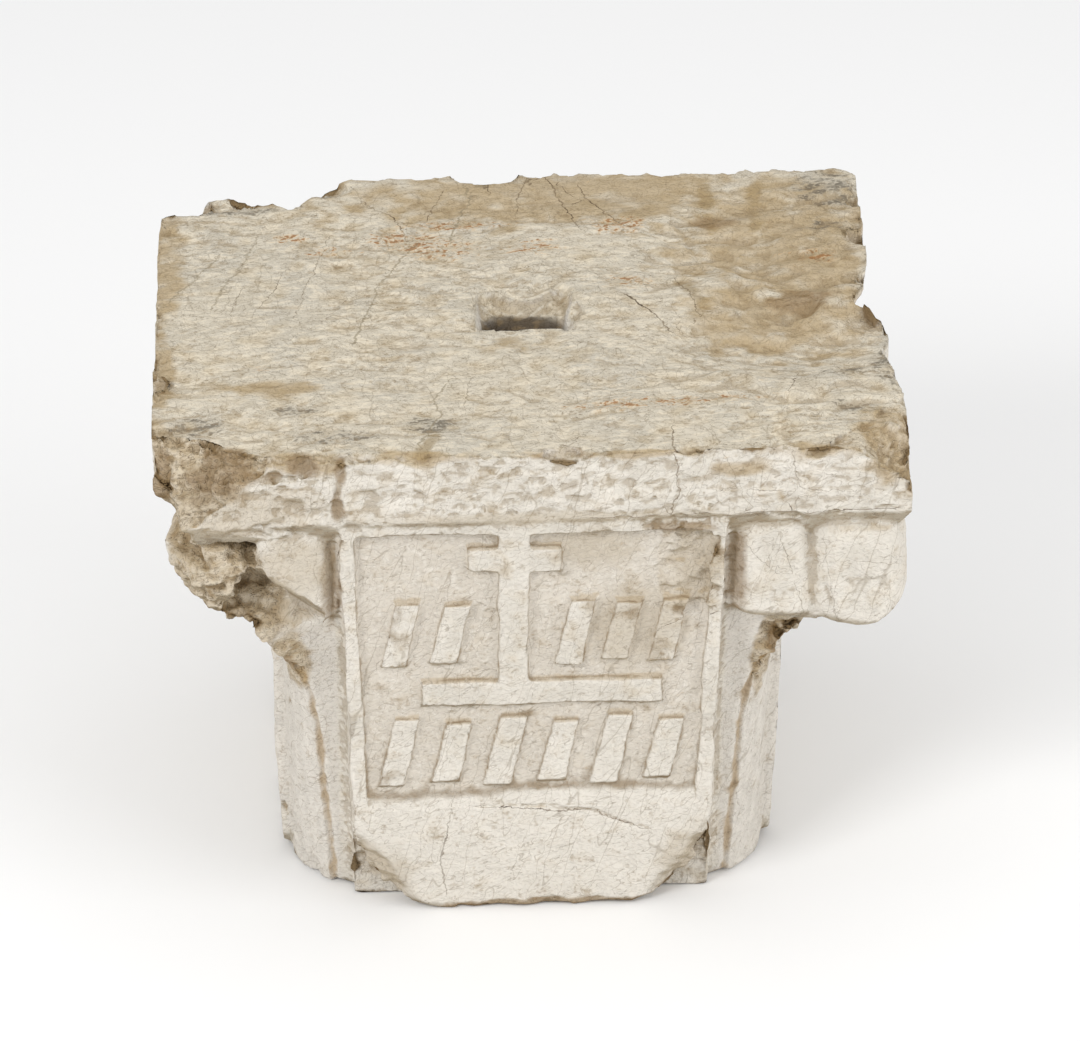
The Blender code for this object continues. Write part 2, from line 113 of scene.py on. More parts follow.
def normals_at(points):
    """Put the points into the mesh and read back the vertex normals."""
    stone.data.vertices.foreach_set("co", points.astype(np.float32).ravel())
    stone.data.update()
    return read(stone.data.vertex_normals, "vector", 3)


def smoothed(values, edges, times):
    """Average each point with its neighbours, several times over."""
    count = len(values)
    first, second = edges[:, 0], edges[:, 1]
    share = np.bincount(first, minlength=count) + np.bincount(second, minlength=count)
    share = np.maximum(share, 1)[:, None]
    values = values.reshape(count, -1)
    for _ in range(times):
        total = np.stack([
            np.bincount(first, column[second], count)
            + np.bincount(second, column[first], count)
            for column in values.T], axis=1)
        values = 0.5 * values + 0.5 * total / share
    return values


def fade(values, start, end):
    """0 below start and 1 above end, or the other way round, with a soft change."""
    t = np.clip((values - start) / (end - start), 0.0, 1.0)
    return t * t * (3.0 - 2.0 * t)


def patch(places, centre, size, start=1.0, end=0.5):
    """1 in an ellipsoid round the centre, fading out to 0 at its surface."""
    away = np.linalg.norm((places - centre) / np.asarray(size), axis=1)
    return fade(away, start, end)


edges = read(stone.data.edges, "vertices", 2)
points = read(stone.data.vertices, "co", 3)
normal = normals_at(points)
print(len(edges), "edges join them")

# %% [markdown]
# ## Random roughness that repeats exactly
# Stone is rough at every size at once, from dents as wide as a hand to grains. Gradient
# noise gives smooth lumps of one size, and a few sizes added together look like stone. It
# works on the points' places, so lumps can be stretched along the bedding of the rock.

# %% Noise and facets
TABLE = 1024  # random directions to choose from, a power of two
PRIMES = (73856093, 19349663, 83492791)  # so large that neighbouring cells choose unlike ones
GRADIENTS = np.random.default_rng(7).normal(size=(TABLE, 3)).astype(np.float32)
GRADIENTS /= np.linalg.norm(GRADIENTS, axis=1)[:, None]


def scramble(cells):
    """A table index from whole-numbered cells, the same for the same cell."""
    key = cells[..., 0] * PRIMES[0] ^ cells[..., 1] * PRIMES[1] ^ cells[..., 2] * PRIMES[2]
    return (key ^ (key >> 15)) & (TABLE - 1)


def noise(places, size, seed=0, octaves=1):
    """Smooth random values, about -1 to 1, in lumps of that size in metres. The size may
    be three numbers, for lumps that are long one way."""
    total = np.zeros(len(places), np.float32)
    for octave in range(octaves):
        scaled = places * (2.0 ** octave) / np.asarray(size) + 17.3 * seed + 5.1 * octave
        cell = np.floor(scaled).astype(np.int64)
        part = (scaled - cell).astype(np.float32)
        ease = part ** 3 * (part * (part * 6 - 15) + 10)
        weights = np.stack([1 - ease, ease])
        for a, b, c in np.ndindex(2, 2, 2):
            weight = weights[a, :, 0] * weights[b, :, 1] * weights[c, :, 2]
            slope = GRADIENTS[scramble(cell + (a, b, c))]
            rise = np.einsum("ij,ij->i", part - np.float32((a, b, c)), slope)
            total += weight * rise * np.float32(1.6 / 2 ** octave)
    return total


def facets(places, size, seed=0, slope=0.5):
    """Heights of flat chips of random tilt, as on a fresh break, in parts of the size.
    Each chip holds its own ground and gives way to the next within a short slope."""
    scaled = places / np.asarray(size) + 3.7 * seed
    base = np.floor(scaled).astype(np.int64)
    total = np.full(len(places), 1e-9, np.float32)
    height = np.zeros(len(places), np.float32)
    for step in np.ndindex(3, 3, 3):
        cell = base + np.array(step) - 1
        key = scramble(cell)
        away = (scaled - (cell + 0.5 + 0.45 * GRADIENTS[key])).astype(np.float32)
        tilt = GRADIENTS[(key * 7 + 3) & (TABLE - 1)]
        weight = np.exp(-13.0 * (away ** 2).sum(1))
        height += weight * (slope * (away * tilt).sum(1) + 0.35 * tilt[:, 0])
        total += weight
    return height / total


print("noise over", len(points), "points:", round(float(noise(points, 0.02).std()), 2))

# %% [markdown]
# ## What the mason left
# The panels were cut by hand, so their lines waver a little and their faces are slightly
# hollow or swollen. The front panel leans out from the foot to the abacus. The same plane
# is used all through this lesson to tell its raised work from its sunk field.

# %% Wavering lines and uneven faces
PANEL_OFFSET = 0.1345  # the raised work at the foot, in front of the block's middle
PANEL_LEAN = 0.086  # how far it comes forward for each metre up
PANEL_HALF = 0.1005  # half the panel's width
FACE_FOOT = 0.2525  # lower edge of the abacus face
FIELD_FOOT = 0.067  # lower edge of the sunk field
FIELD_DEPTH = 0.0042  # how far the field lies behind the raised work
SKIN = 0.0006  # how much the hand-cut faces lose on average
TONGUE_HALF = 0.053  # half the tongue's width at the foot
TONGUE_SLANT = 0.66  # how much wider it gets for each metre up


def behind_panel(places):
    """Depth of each place behind the plane of the front panel's raised work."""
    return places[:, 1] + PANEL_OFFSET + PANEL_LEAN * places[:, 2]


def below_top(points, normal, start, end):
    """1 on the upper bed, down to a depth, and 0 elsewhere."""
    return fade(normal[:, 2], 0.45, 0.80) * fade(points[:, 2], TOP - start, TOP - end)


sunk = behind_panel(points)
on_panel = fade(np.abs(points[:, 0]), PANEL_HALF + 0.004, PANEL_HALF) * fade(sunk, 0.018, 0.010)
on_panel *= fade(points[:, 2], FACE_FOOT + 0.002, FACE_FOOT - 0.002) * (points[:, 1] < 0)
for axis, seed in ((0, 1), (2, 2)):
    waver = 0.0006 * noise(points, 0.028, seed) + 0.00015 * noise(points, 0.008, seed + 5)
    points[:, axis] += on_panel * waver
bed = below_top(points, normal, 0.022, 0.012)
dents = 0.0012 * noise(points, 0.050, 3, 2) + 0.0005 * noise(points, 0.014, 4, 2)
on_face = fade(points[:, 2], FACE_FOOT, FACE_FOOT + 0.004) * (points[:, 1] < -0.12) * (1 - bed)
dents += on_face * 0.0020 * facets(points, (0.022, 0.020, 0.010), 8, 0.9)
dents += on_face * 0.0008 * noise(points, (0.010, 0.010, 0.005), 8, 2)
points += normal * ((1 - bed) * (dents - SKIN))[:, None]
run_out = FIELD_DEPTH * fade(points[:, 2], FIELD_FOOT, FIELD_FOOT + 0.024)
too_deep = np.clip(sunk - run_out - SKIN, 0, 0.005)
points[:, 1] -= on_panel * fade(points[:, 2], 0.060, 0.064) * too_deep
cut_off = fade(np.abs(points[:, 0]) - TONGUE_HALF - TONGUE_SLANT * points[:, 2], 0.0, 0.018)
points[:, 1] += 0.0065 * cut_off * fade(points[:, 2], 0.072, 0.055) * on_panel
print("uneven by up to", round(MM * float(np.abs(dents).max()), 1), "mm")

# %% [markdown]
# The rim of the dowel hole is worn to a shallow scoop behind. The end of the front right
# volute is an oval, so every point beyond the oval is drawn back onto it. At the notch in
# the right end the stone swells out above and has fallen away below.

# %% Scoop, volute end and notch
TIP_CORNER = (0.1680, 0.2220)  # X and Z of the oval's middle
TIP_ROUND = (0.0270, 0.0405)  # its half width and half height
scoop = patch(points, (0.002, 0.020, TOP), (0.025, 0.024, 0.022), 1.0, 0.15)
points[:, 2] -= 0.0075 * scoop * (points[:, 1] > -0.0205)
droop = (points[:, (0, 2)] - TIP_CORNER) / TIP_ROUND
out = (droop[:, 0] > 0) & (droop[:, 1] < 0) & (points[:, 1] < -0.09) & (points[:, 2] > 0.16)
reach = np.linalg.norm(droop[out], axis=1)
droop[out] *= np.minimum(1.0, 1 / np.maximum(reach, 1e-6))[:, None]
points[:, 0] = np.where(out, TIP_CORNER[0] + TIP_ROUND[0] * droop[:, 0], points[:, 0])
points[:, 2] = np.where(out, TIP_CORNER[1] + TIP_ROUND[1] * droop[:, 1], points[:, 2])
shoulder = patch(points, (0.186, -0.019, 0.270), (0.030, 0.023, 0.070), 1.0, 0.55)
points[:, 0] += 0.0065 * shoulder
points[:, 1] += 0.0060 * shoulder
undercut = fade(points[:, 1], -0.004, 0.010) * fade(points[:, 1], 0.095, 0.060)
undercut *= fade(points[:, 2], TOP - 0.007, TOP - 0.016) * fade(points[:, 2], 0.2425, FACE_FOOT)
undercut *= points[:, 0] > 0.15
points[:, 0] -= (0.0100 + 0.0020 * noise(points, 0.020, 18, 2)) * undercut
print("rounded the volute's end at", int(out.sum()), "points")

# %% [markdown]
# The back and the ends were never meant to be seen close by, and keep the furrows of a claw
# chisel. Noise stretched along one slanting direction makes long shallow furrows.

# %% Chisel furrows
hidden = fade(points[:, 1], -0.06, 0.02) * (1 - bed) * fade(np.abs(normal[:, 2]), 0.8, 0.5)
slanting = points @ np.array([[1, 0, 0.5], [0, 1, 0], [-0.5, 0, 1]])
furrows = 0.0007 * noise(slanting, (0.007, 0.007, 0.055), 9, 2)
points += normal * (hidden * furrows)[:, None]
print("furrowed", round(100 * float((hidden > 0.5).mean())), "% of the points")

# %% [markdown]
# ## Wear
# Eight centuries of knocks take the arrises first. Averaging the points rounds every edge,
# and the difference between a point and its average tells how far it stood out. Where the
# noise is high the edge is taken back much further, which reads as a chip. The carved work
# and a few arrises that still stand sharp are spared most of it.

# %% Worn edges
ROUNDING, CHIPPING = 7, 40  # turns of averaging for a rounded edge and for a chip
SHARP = [
    # middle, half size
    ((0.190, -0.150, 0.215), (0.030, 0.030, 0.060)),
    ((RIGHT, FRONT, 0.268), (0.030, 0.030, 0.040)),
    ((LEFT, -0.040, TOP), (0.020, 0.130, 0.030)),
]
normal = normals_at(points)
soft = smoothed(points, edges, ROUNDING)
softer = smoothed(soft, edges, CHIPPING)
stands_out = MM * np.einsum("ij,ij->i", points - soft, normal)
carved = fade(sunk, 0.012, 0.007) * on_panel
wear = fade(noise(points, 0.030, 11, 2), -0.5, 0.5) * (1 - 0.45 * carved)
spared = fade(points[:, 1], 0.100, 0.130) * fade(points[:, 2], TOP - 0.030, TOP - 0.015)
for place, size in SHARP:
    spared = np.maximum(spared, patch(points, place, size))
spared = 1 - 0.75 * spared
points += (soft - points) * (spared * (0.35 + 0.6 * wear) * (1 - 0.60 * carved))[:, None]
chipped = fade(stands_out, 0.15, 0.5) * fade(noise(points, 0.011, 12, 2), 0.12, 0.34)
points += (softer - points) * (spared * chipped * (0.8 - 0.55 * carved))[:, None]
print("chipped along", round(100 * float((chipped > 0.5).mean()), 1), "% of the surface")

# %% [markdown]
# Averaging also pulls in the outline of the whole block. Where the arris still stands at
# its full width, the points are moved back out, by no more than the block's own size.

# %% The outline moved back out
OUTWARD = [
    # middle, half size, move in X and Y
    ((0.040, 0.156, TOP), (0.170, 0.030, 0.022), (0.0, 0.0050)),
    ((-0.155, 0.116, TOP), (0.036, 0.026, 0.024), (0.0, 0.0085)),
    ((0.194, -0.150, 0.225), (0.024, 0.030, 0.045), (0.0020, 0.0)),
    ((0.190, -0.090, TOP), (0.030, 0.070, 0.030), (0.0018, 0.0)),
    ((LEFT, -0.100, TOP - 0.010), (0.024, 0.070, 0.040), (-0.0015, 0.0)),
]
for place, size, move in OUTWARD:
    points[:, :2] += np.array(move) * patch(points, place, size, 1.0, 0.6)[:, None]
points = np.clip(points, LOW, HIGH)
print("moved out again in", len(OUTWARD), "places")

# %% [markdown]
# Larger losses have a shell-like hollow. Each is a ball that pushes the stone out of its
# way: every point inside it moves out to its surface. The ball's centre lies outside the
# arris, so only a shallow bite is taken.

# %% Bites out of the arrises
rng = np.random.default_rng(21)


def bite(centre, radius, squash=(1.0, 1.0, 1.0)):
    """Push the points that lie in a ball out to its surface."""
    away = (points - centre) / squash
    gap = np.linalg.norm(away, axis=1)
    inside = np.flatnonzero(gap < radius * 1.3)
    if len(inside) == 0:
        return
    near = points[inside]
    ragged = 1 + 0.12 * noise(near, radius * 0.45, 31) + 0.06 * noise(near, radius * 0.15, 32)
    push = np.maximum(radius * ragged / np.maximum(gap[inside], 1e-6), 1.0)[:, None]
    points[inside] = centre + away[inside] * squash * push


def bite_edge(start, end, outward, count, radius, depth, spread=0.5):
    """Bites of random size along an arris from start to end."""
    start, end = np.array(start), np.array(end)
    outward = np.array(outward, float)
    for place in rng.uniform(0, 1, count):
        size = rng.uniform(*radius)
        deep = rng.uniform(*depth)
        tilt = outward + spread * rng.normal(size=3)
        tilt /= np.linalg.norm(tilt)
        spot = start + (end - start) * place
        bite(spot + tilt * (size - deep), size, (rng.uniform(1.0, 1.8), 1.0, 1.0))


SMALL, MIDDLE, LARGE = (0.004, 0.010), (0.005, 0.012), (0.005, 0.016)
SHALLOW, DEEP = (0.0005, 0.0022), (0.001, 0.004)
FACE_BITES = 110
ARRISES = [
    # start, end, outward direction, bites, their radius, their depth
    ((-0.150, FRONT, TOP), (-0.060, FRONT, TOP), (0, -1, 1), 30, LARGE, DEEP),
    ((-0.060, FRONT, TOP), (0.100, FRONT, TOP), (0, -1, 1), 26, SMALL, SHALLOW),
    ((0.100, FRONT, TOP), (0.165, FRONT, TOP), (0, -1, 1), 16, MIDDLE, SHALLOW),
    ((LEFT, -0.130, TOP), (LEFT, 0.112, TOP), (-1, 0, 1), 28, MIDDLE, SHALLOW),
    ((RIGHT, -0.120, TOP), (0.190, -0.020, TOP), (1, 0, 1), 16, MIDDLE, SHALLOW),
    ((0.184, 0.020, TOP), (0.193, 0.150, TOP), (1, 0, 1), 18, MIDDLE, SHALLOW),
    ((-0.090, 0.156, TOP), (0.190, 0.157, TOP), (0, 1, 1), 38, MIDDLE, SHALLOW),
    ((-0.190, 0.115, TOP), (-0.090, 0.140, TOP), (0, 1, 1), 14, MIDDLE, SHALLOW),
    ((-0.120, FRONT, FACE_FOOT), (0.190, FRONT, FACE_FOOT), (0, -1, -1), 18, SMALL, SHALLOW),
    ((-0.060, -0.136, 0.0), (0.060, -0.136, 0.0), (0, -1, -1), 22, SMALL, SHALLOW),
    ((-0.165, -0.165, 0.207), (-0.139, -0.139, 0.168), (-1, -1, -1), 10, SMALL, DEEP),
    ((0.135, -0.135, 0.165), (0.142, -0.142, 0.180), (1, -1, -1), 7, SMALL, DEEP),
    ((-0.138, -0.080, 0.030), (-0.122, -0.104, 0.000), (-1, -1, -0.6), 16, MIDDLE, (0.002, 0.005)),
    ((0.138, -0.080, 0.026), (0.126, -0.104, 0.000), (1, -1, -0.6), 16, SMALL, DEEP),
    ((-0.104, -0.131, 0.0), (-0.084, -0.131, 0.0), (-0.3, -1, -1), 9, SMALL, DEEP),
    ((0.084, -0.131, 0.0), (0.104, -0.131, 0.0), (0.3, -1, -1), 9, SMALL, DEEP),
]
for arris in ARRISES:
    bite_edge(*arris)
for spot in rng.uniform((-0.150, FACE_FOOT), (0.180, TOP - 0.004), (FACE_BITES, 2)):
    size = rng.uniform(0.002, 0.006)
    centre = (spot[0], FRONT - size + rng.uniform(0.0008, 0.0018), spot[1])
    bite(centre, size, (rng.uniform(1.0, 2.2), 1.0, rng.uniform(0.6, 1.1)))
print(sum(arris[3] for arris in ARRISES), "bites along the arrises,", FACE_BITES, "on the face")

# %% [markdown]
# The larger losses can be told apart, so each has its own place and shape. A stretched ball
# leaves a long chip, and a flattened one a shallow scale.

# %% Single losses
LOSSES = [
    # centre of the ball, its radius, its stretch in X, Y and Z
    ((0.016, FRONT - 0.003, TOP + 0.005), 0.0125, (1.35, 1.0, 1.0)),  # large chip, front arris
    ((-0.1167, FRONT - 0.003, TOP - 0.004), 0.0075, (0.8, 1.0, 1.3)),  # brown hole left of the joint
    ((-0.1290, FRONT - 0.005, 0.2805), 0.0075, (1.5, 1.0, 0.6)),
    ((-0.0452, FRONT - 0.004, 0.2762), 0.0052, (1.6, 1.0, 0.6)),
    ((0.1272, FRONT - 0.005, 0.2628), 0.0062, (0.7, 1.0, 1.2)),
    ((0.0894, FRONT - 0.005, 0.2849), 0.0066, (1.2, 1.0, 0.8)),
    ((0.1029, FRONT - 0.005, 0.2760), 0.0068, (1.4, 1.0, 1.0)),
    ((0.1215, FRONT - 0.004, 0.2890), 0.0070, (0.8, 1.0, 1.0)),
    ((0.1451, FRONT - 0.004, 0.2880), 0.0075, (1.8, 1.0, 0.5)),
    ((-0.0860, FRONT - 0.005, 0.2580), 0.0060, (1.2, 1.0, 0.8)),
    ((0.1640, -0.1600, 0.2090), 0.0042, (1.5, 1.0, 0.9)),  # chip in the volute
    ((0.0260, -0.0030, TOP + 0.006), 0.0110, (1.0, 1.3, 1.0)),  # worn mouth of the dowel hole
    ((0.0900, -0.1560, 0.2350), 0.0070, (1.0, 0.8, 0.8)),  # loss in the panel's upper right corner
    ((0.2000, 0.0080, 0.2700), 0.0200, (1.0, 1.0, 4.0)),  # worn corner of the notch
]
for centre, radius, squash in LOSSES:
    bite(centre, radius, squash)
print(len(LOSSES), "single losses")

# %% [markdown]
# ## Broken faces
# A break in limestone is a patchwork of small tilted facets with a sandy grain on them.
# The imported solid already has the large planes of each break, so only the points close to
# such a plane are roughened. How broken each point is gets stored for the finish.

# %% Facets on the breaks
BREAKS = {
    # name: point on the break, its outward normal, reach, height of the facets, how fresh
    "corner front": ((-0.172, -0.147, 0.2795), (-0.43, -0.75, 0.49), 0.060, 0.0040, 1.0),
    "corner end": ((-0.1885, -0.140, 0.260), (-0.85, -0.25, -0.46), 0.034, 0.0034, 1.0),
    "inner block": ((-0.127, -0.150, 0.209), (-0.53, -0.46, -0.72), 0.022, 0.0008, 0.4),
    "right corner": ((0.182, -0.140, 0.286), (0.48, -0.43, 0.76), 0.036, 0.0034, 0.38),
    "back": ((-0.150, 0.130, 0.245), (-0.30, 0.95, -0.05), 0.075, 0.0045, 1.0),
}

normal = normals_at(points)
broken = np.zeros(len(points), np.float32)
for name, (centre, facing, reach, relief, fresh) in BREAKS.items():
    facing = np.array(facing) / np.linalg.norm(facing)
    away = points - centre
    height = away @ facing
    sideways = np.linalg.norm(away - height[:, None] * facing, axis=1)
    there = fade(np.abs(height), 0.0055, 0.0035) * fade(sideways, reach, 0.8 * reach)
    there *= fade(normal @ facing, 0.45, 0.75)
    spots = np.flatnonzero(there > 0)
    near = points[spots]
    rough = 1.6 * facets(near, (0.017, 0.017, 0.024), 3, 0.9)
    rough += 0.5 * facets(near, (0.007, 0.007, 0.010), 4, 0.9)
    rough += 0.25 * noise(near, (0.004, 0.004, 0.007), 9, 2) - 0.6
    points[spots] += facing * (relief * 0.75 * rough * there[spots])[:, None]
    broken = np.maximum(broken, fresh * there)
    print(name, "takes", len(spots), "points")

# %% [markdown]
# The stump of the lost volute, the tops of the leaves and the corners beside the tongue
# have no plane. They are crumbly lumps, so the noise acts along the surface's own normal.

# %% Crumbly places
CRUMBLY = [
    # centre, half size, height of the lumps, how much it counts as broken
    ((0.178, 0.038, 0.266), (0.014, 0.060, 0.020), 0.0016, 0.45),
    ((0.127, -0.119, 0.118), (0.010, 0.018, 0.034), 0.0011, 0.6),
    ((-0.156, -0.120, 0.212), (0.036, 0.042, 0.048), 0.0030, 1.0),
    ((-0.136, FRONT, 0.262), (0.046, 0.024, 0.024), 0.0015, 0.10),
    ((-0.146, -0.146, 0.186), (0.020, 0.020, 0.026), 0.0018, 0.8),
    ((-0.128, -0.122, 0.150), (0.014, 0.028, 0.036), 0.0014, 0.7),
    ((0.132, -0.132, 0.168), (0.014, 0.016, 0.032), 0.0018, 0.8),
    ((0.130, -0.121, 0.148), (0.016, 0.030, 0.042), 0.0019, 0.9),
    ((0.124, -0.124, 0.030), (0.014, 0.014, 0.030), 0.0010, 0.2),
    ((-0.090, -0.129, 0.016), (0.024, 0.014, 0.030), 0.0015, 0.4),
    ((0.094, -0.129, 0.020), (0.022, 0.014, 0.036), 0.0015, 0.4),
    ((0.082, -0.150, 0.218), (0.022, 0.012, 0.036), 0.0016, 0.3),
    ((0.020, -0.136, 0.000), (0.080, 0.010, 0.006), 0.0012, 0.5),
    ((-0.139, 0.138, 0.225), (0.062, 0.036, 0.066), 0.0032, 0.8),
]
outer = (normal[:, 1] < 0.6) | (points[:, 1] > 0)  # not the hidden backs of the front lumps
for centre, size, relief, share in CRUMBLY:
    there = patch(points, centre, size, 1.0, 0.75) * outer
    if centre[0] < -0.14:  # the stump keeps clear of the inner block
        there *= (1 - fade(points[:, 0], -0.128, -0.120)) * (points[:, 2] < 0.245)
    spots = np.flatnonzero(there > 0)
    near = points[spots]
    rough = 1.5 * facets(near, (0.015, 0.015, 0.010), 15, 0.9) + 0.6 * noise(near, 0.009, 16, 2)
    rough += 0.7 * facets(near, (0.007, 0.007, 0.005), 17, 0.9) - 0.25
    points[spots] += normal[spots] * (relief * rough * there[spots])[:, None]
    broken = np.maximum(broken, share * there)
print("crumbly or broken:", round(100 * float((broken > 0.4).mean()), 1), "% of the points")

# %% [markdown]
# ## The upper bed
# The top was only ever dressed flat to carry the wall above. It has weathered along the
# bedding of the rock into thin flakes that lie along the length of the block. Rounding a
# stretched noise to steps makes such flakes, each with a little edge.

# %% Flakes and hollows of the bed


def steps(values, rise):
    """Turn a smooth slope into flat treads with short risers."""
    level = values / rise
    return rise * (np.floor(level) + fade(level - np.floor(level), 0.30, 0.75))


normal = normals_at(points)
bed = below_top(points, normal, 0.030, 0.016)
spots = np.flatnonzero(bed > 0)
top = points[spots]
bent = top + 0.012 * np.stack([noise(top, 0.060, 45), noise(top, 0.045, 46), 0 * top[:, 0]], axis=1)
patchy = 0.35 + 1.1 * fade(noise(top, (0.060, 0.035, 0.035), 47, 2), -0.25, 0.45)
swell = 0.0013 * noise(bent, (0.110, 0.045, 0.045), 41, 2)
swell += 0.0005 * noise(bent, (0.040, 0.020, 0.020), 44)
flakes = 0.0010 * patchy * steps(noise(bent, (0.034, 0.011, 0.012), 42, 3), 0.42)
grain = 0.00034 * patchy * noise(bent, (0.007, 0.0032, 0.0035), 43, 2)
rugged = patch(top, (0.150, 0.060, TOP), (0.095, 0.125, 0.05), 1.0, 0.5)
broad = 0.0062 * rugged * (facets(bent, (0.044, 0.028, 0.030), 6, 0.9) - 0.25)
broad += 0.0022 * rugged * facets(bent, (0.016, 0.010, 0.012), 5, 0.9)
stepped = patch(top, (0.140, -0.085, TOP), (0.075, 0.045, 0.050))
ledges = 0.0040 * stepped * facets(bent, (0.050, 0.014, 0.020), 7, 0.8)
kept = 1 - 0.85 * fade(top[:, 1], 0.120, 0.145)
points[spots, 2] += kept * bed[spots] * (swell + flakes + grain + broad + ledges - 0.0016)
points[:, 2] = np.minimum(points[:, 2], TOP)
print("the bed has", len(spots), "points")

# %% [markdown]
# ## Grooves and ridges
# The mason ran a groove down the ridge of each leaf and between the two parts of a volute,
# and a sawn joint crosses the abacus. Each follows a line of a few points, and each point
# of the stone near the line sinks or rises by how close it is.

# %% Grooves along short lines


def from_line(places, start, end):
    """The way from the nearest point of a straight line to each place."""
    run = end - start
    t = np.clip((places - start) @ run / (run @ run), 0.0, 1.0)
    return places - start - t[:, None] * run


def nearest_on(places, path):
    """Distance of each place to a line of points."""
    best = np.full(len(places), 1.0)
    path = [np.array(point, float) for point in path]
    for start, end in zip(path, path[1:]):
        best = np.minimum(best, np.linalg.norm(from_line(places, start, end), axis=1))
    return best


def groove(path, width, depth, ragged=0.0):
    """Sink a groove along the path, along the surface normal. A negative depth is a ridge."""
    gap = nearest_on(points, path)
    spots = np.flatnonzero(gap < 3 * width)
    wide = width * (1 + ragged * noise(points[spots], 0.006, 51, 2))
    sink = depth * fade(gap[spots] / np.maximum(wide, 1e-5), 1.0, 0.0)
    points[spots] -= normal[spots] * sink[:, None]


def off_crest(places):
    """Distance from the crest of a corner leaf, which runs down the block's diagonal."""
    away = np.abs(np.abs(places[:, 0]) - np.abs(places[:, 1]) + 0.001) / math.sqrt(2)
    return away + 0.1 * fade(places[:, 2], 0.150, 0.175)


LINES = [
    # path, half width, depth, how ragged
    ([(-0.0958, FRONT, TOP), (-0.0975, FRONT, 0.2817), (-0.1002, FRONT, 0.2701),
      (-0.1009, FRONT, 0.2601), (-0.0995, FRONT, 0.2500)], 0.0036, 0.0020, 0.5),
    ([(-0.1005, FRONT, 0.2640), (-0.1009, FRONT, 0.2560)], 0.0042, 0.0030, 0.3),
    ([(0.0740, FRONT, TOP), (0.0732, FRONT, 0.2801), (0.0748, FRONT, 0.2683),
      (0.0709, FRONT, 0.2543)], 0.0016, 0.0016, 0.6),
    ([(0.1402, -0.156, 0.2468), (0.1447, -0.156, 0.2289), (0.1493, -0.155, 0.2108),
      (0.1537, -0.155, 0.1975)], 0.0038, 0.0016, 0.2),
    ([(-0.0768, FRONT, 0.2706), (-0.0656, FRONT, 0.2686), (-0.0544, FRONT, 0.2671),
      (-0.0426, FRONT, 0.2715)], 0.0028, 0.0008, 0.6),
    ([(0.0953, FRONT, 0.2672), (0.1671, FRONT, 0.2653)], 0.0010, 0.0005, 0.2),
    ([(-0.0295, -0.140, 0.0668), (0.0041, -0.140, 0.0671), (0.0344, -0.140, 0.0628),
      (0.0483, -0.139, 0.0550), (0.0612, -0.139, 0.0505)], 0.0020, 0.0009, 0.8),
    ([(0.0557, -0.1495, 0.1739), (0.0686, -0.1500, 0.1818), (0.0815, -0.1507, 0.1885),
      (0.0997, -0.1509, 0.1905)], 0.0018, 0.0012, 0.8),
    ([(-0.0328, -0.1477, 0.1535), (-0.0275, -0.1494, 0.1732), (-0.0176, -0.1512, 0.1940)],
     0.0020, 0.0008, 0.8),
    ([(0.0753, -0.0462, TOP), (0.1245, -0.0563, TOP), (0.1454, -0.0705, TOP), (0.190, -0.0920, TOP)],
     0.0090, -0.0016, 0.5),
    ([(0.0910, 0.0985, TOP), (0.0965, 0.0730, TOP), (0.1050, 0.0530, TOP), (0.1150, 0.0460, TOP)],
     0.0070, 0.0014, 0.5),
]
normal = normals_at(points)
for line in LINES:
    groove(*line)
ragged = 0.0022 * (1 + 0.6 * noise(points, 0.008, 52, 2))
points -= normal * (0.0015 * fade(off_crest(points) / ragged, 1.0, 0.2))[:, None]
print(len(LINES), "grooves and ridges, and the crests of four leaves")

# %% [markdown]
# The sunk field was left from a point chisel, so it is stippled more than the raised work.
# That stipple and a sandy grain come last, because the wear above would smooth them away.

# %% Stipple and grain
normal = normals_at(points)
sunk = behind_panel(points)
field = on_panel * fade(sunk, 0.0022, 0.0040)
grain = 0.00022 * noise(points, 0.0034, 61, 2) * (1 - below_top(points, normal, 0.030, 0.016))
spots = np.flatnonzero(field > 0)
stipple = 0.0005 * noise(points[spots], 0.0040, 62, 2)
stipple += 0.0005 * noise(points[spots], 0.0130, 63, 2)
grain[spots] += field[spots] * stipple
on_face = fade(points[:, 2], FACE_FOOT, FACE_FOOT + 0.004) * (points[:, 1] < -0.13)
on_face *= normal[:, 2] < 0.5
spots = np.flatnonzero(on_face > 0)
grain[spots] += 0.0009 * on_face[spots] * facets(points[spots], (0.010, 0.008, 0.0045), 64, 0.9)
points += normal * grain[:, None]
points = np.clip(points, LOW, HIGH)
normal = normals_at(points)
print("field of the panel:", len(spots), "points")

# %% [markdown]
# ## A lighter mesh
# Most of the points are now in plain areas that don't need them. Decimate merges points
# where the surface is nearly flat. It works on one region at a time, so the carved panel
# keeps its crisp edges and the underside gives up nearly all of its points. The whole
# stone has to stay under 200,000 triangles.

# %% Decimate by region
layer = stone.data.attributes.new("broken", "FLOAT", "POINT")
layer.data.foreach_set("value", broken.astype(np.float32))


def regions():
    """For each region, which of the faces belong to it."""
    middle = read(stone.data.polygons, "center", 3)
    facing = read(stone.data.polygons, "normal", 3)
    panel = (middle[:, 1] < -0.10) & (np.abs(middle[:, 0]) < 0.103) & (middle[:, 2] < 0.256)
    panel &= (middle[:, 2] > 0.004) & (facing[:, 2] > -0.9)
    top = (middle[:, 2] > TOP - 0.045) & (facing[:, 2] > 0.35)
    front = (middle[:, 1] < -0.09) & (middle[:, 2] > 0.004) & ~panel & ~top
    below = (middle[:, 2] < 0.003) & (facing[:, 2] < -0.8)
    return {"panel": panel, "top": top, "front": front, "below": below,
            "rest": ~(panel | top | front | below)}


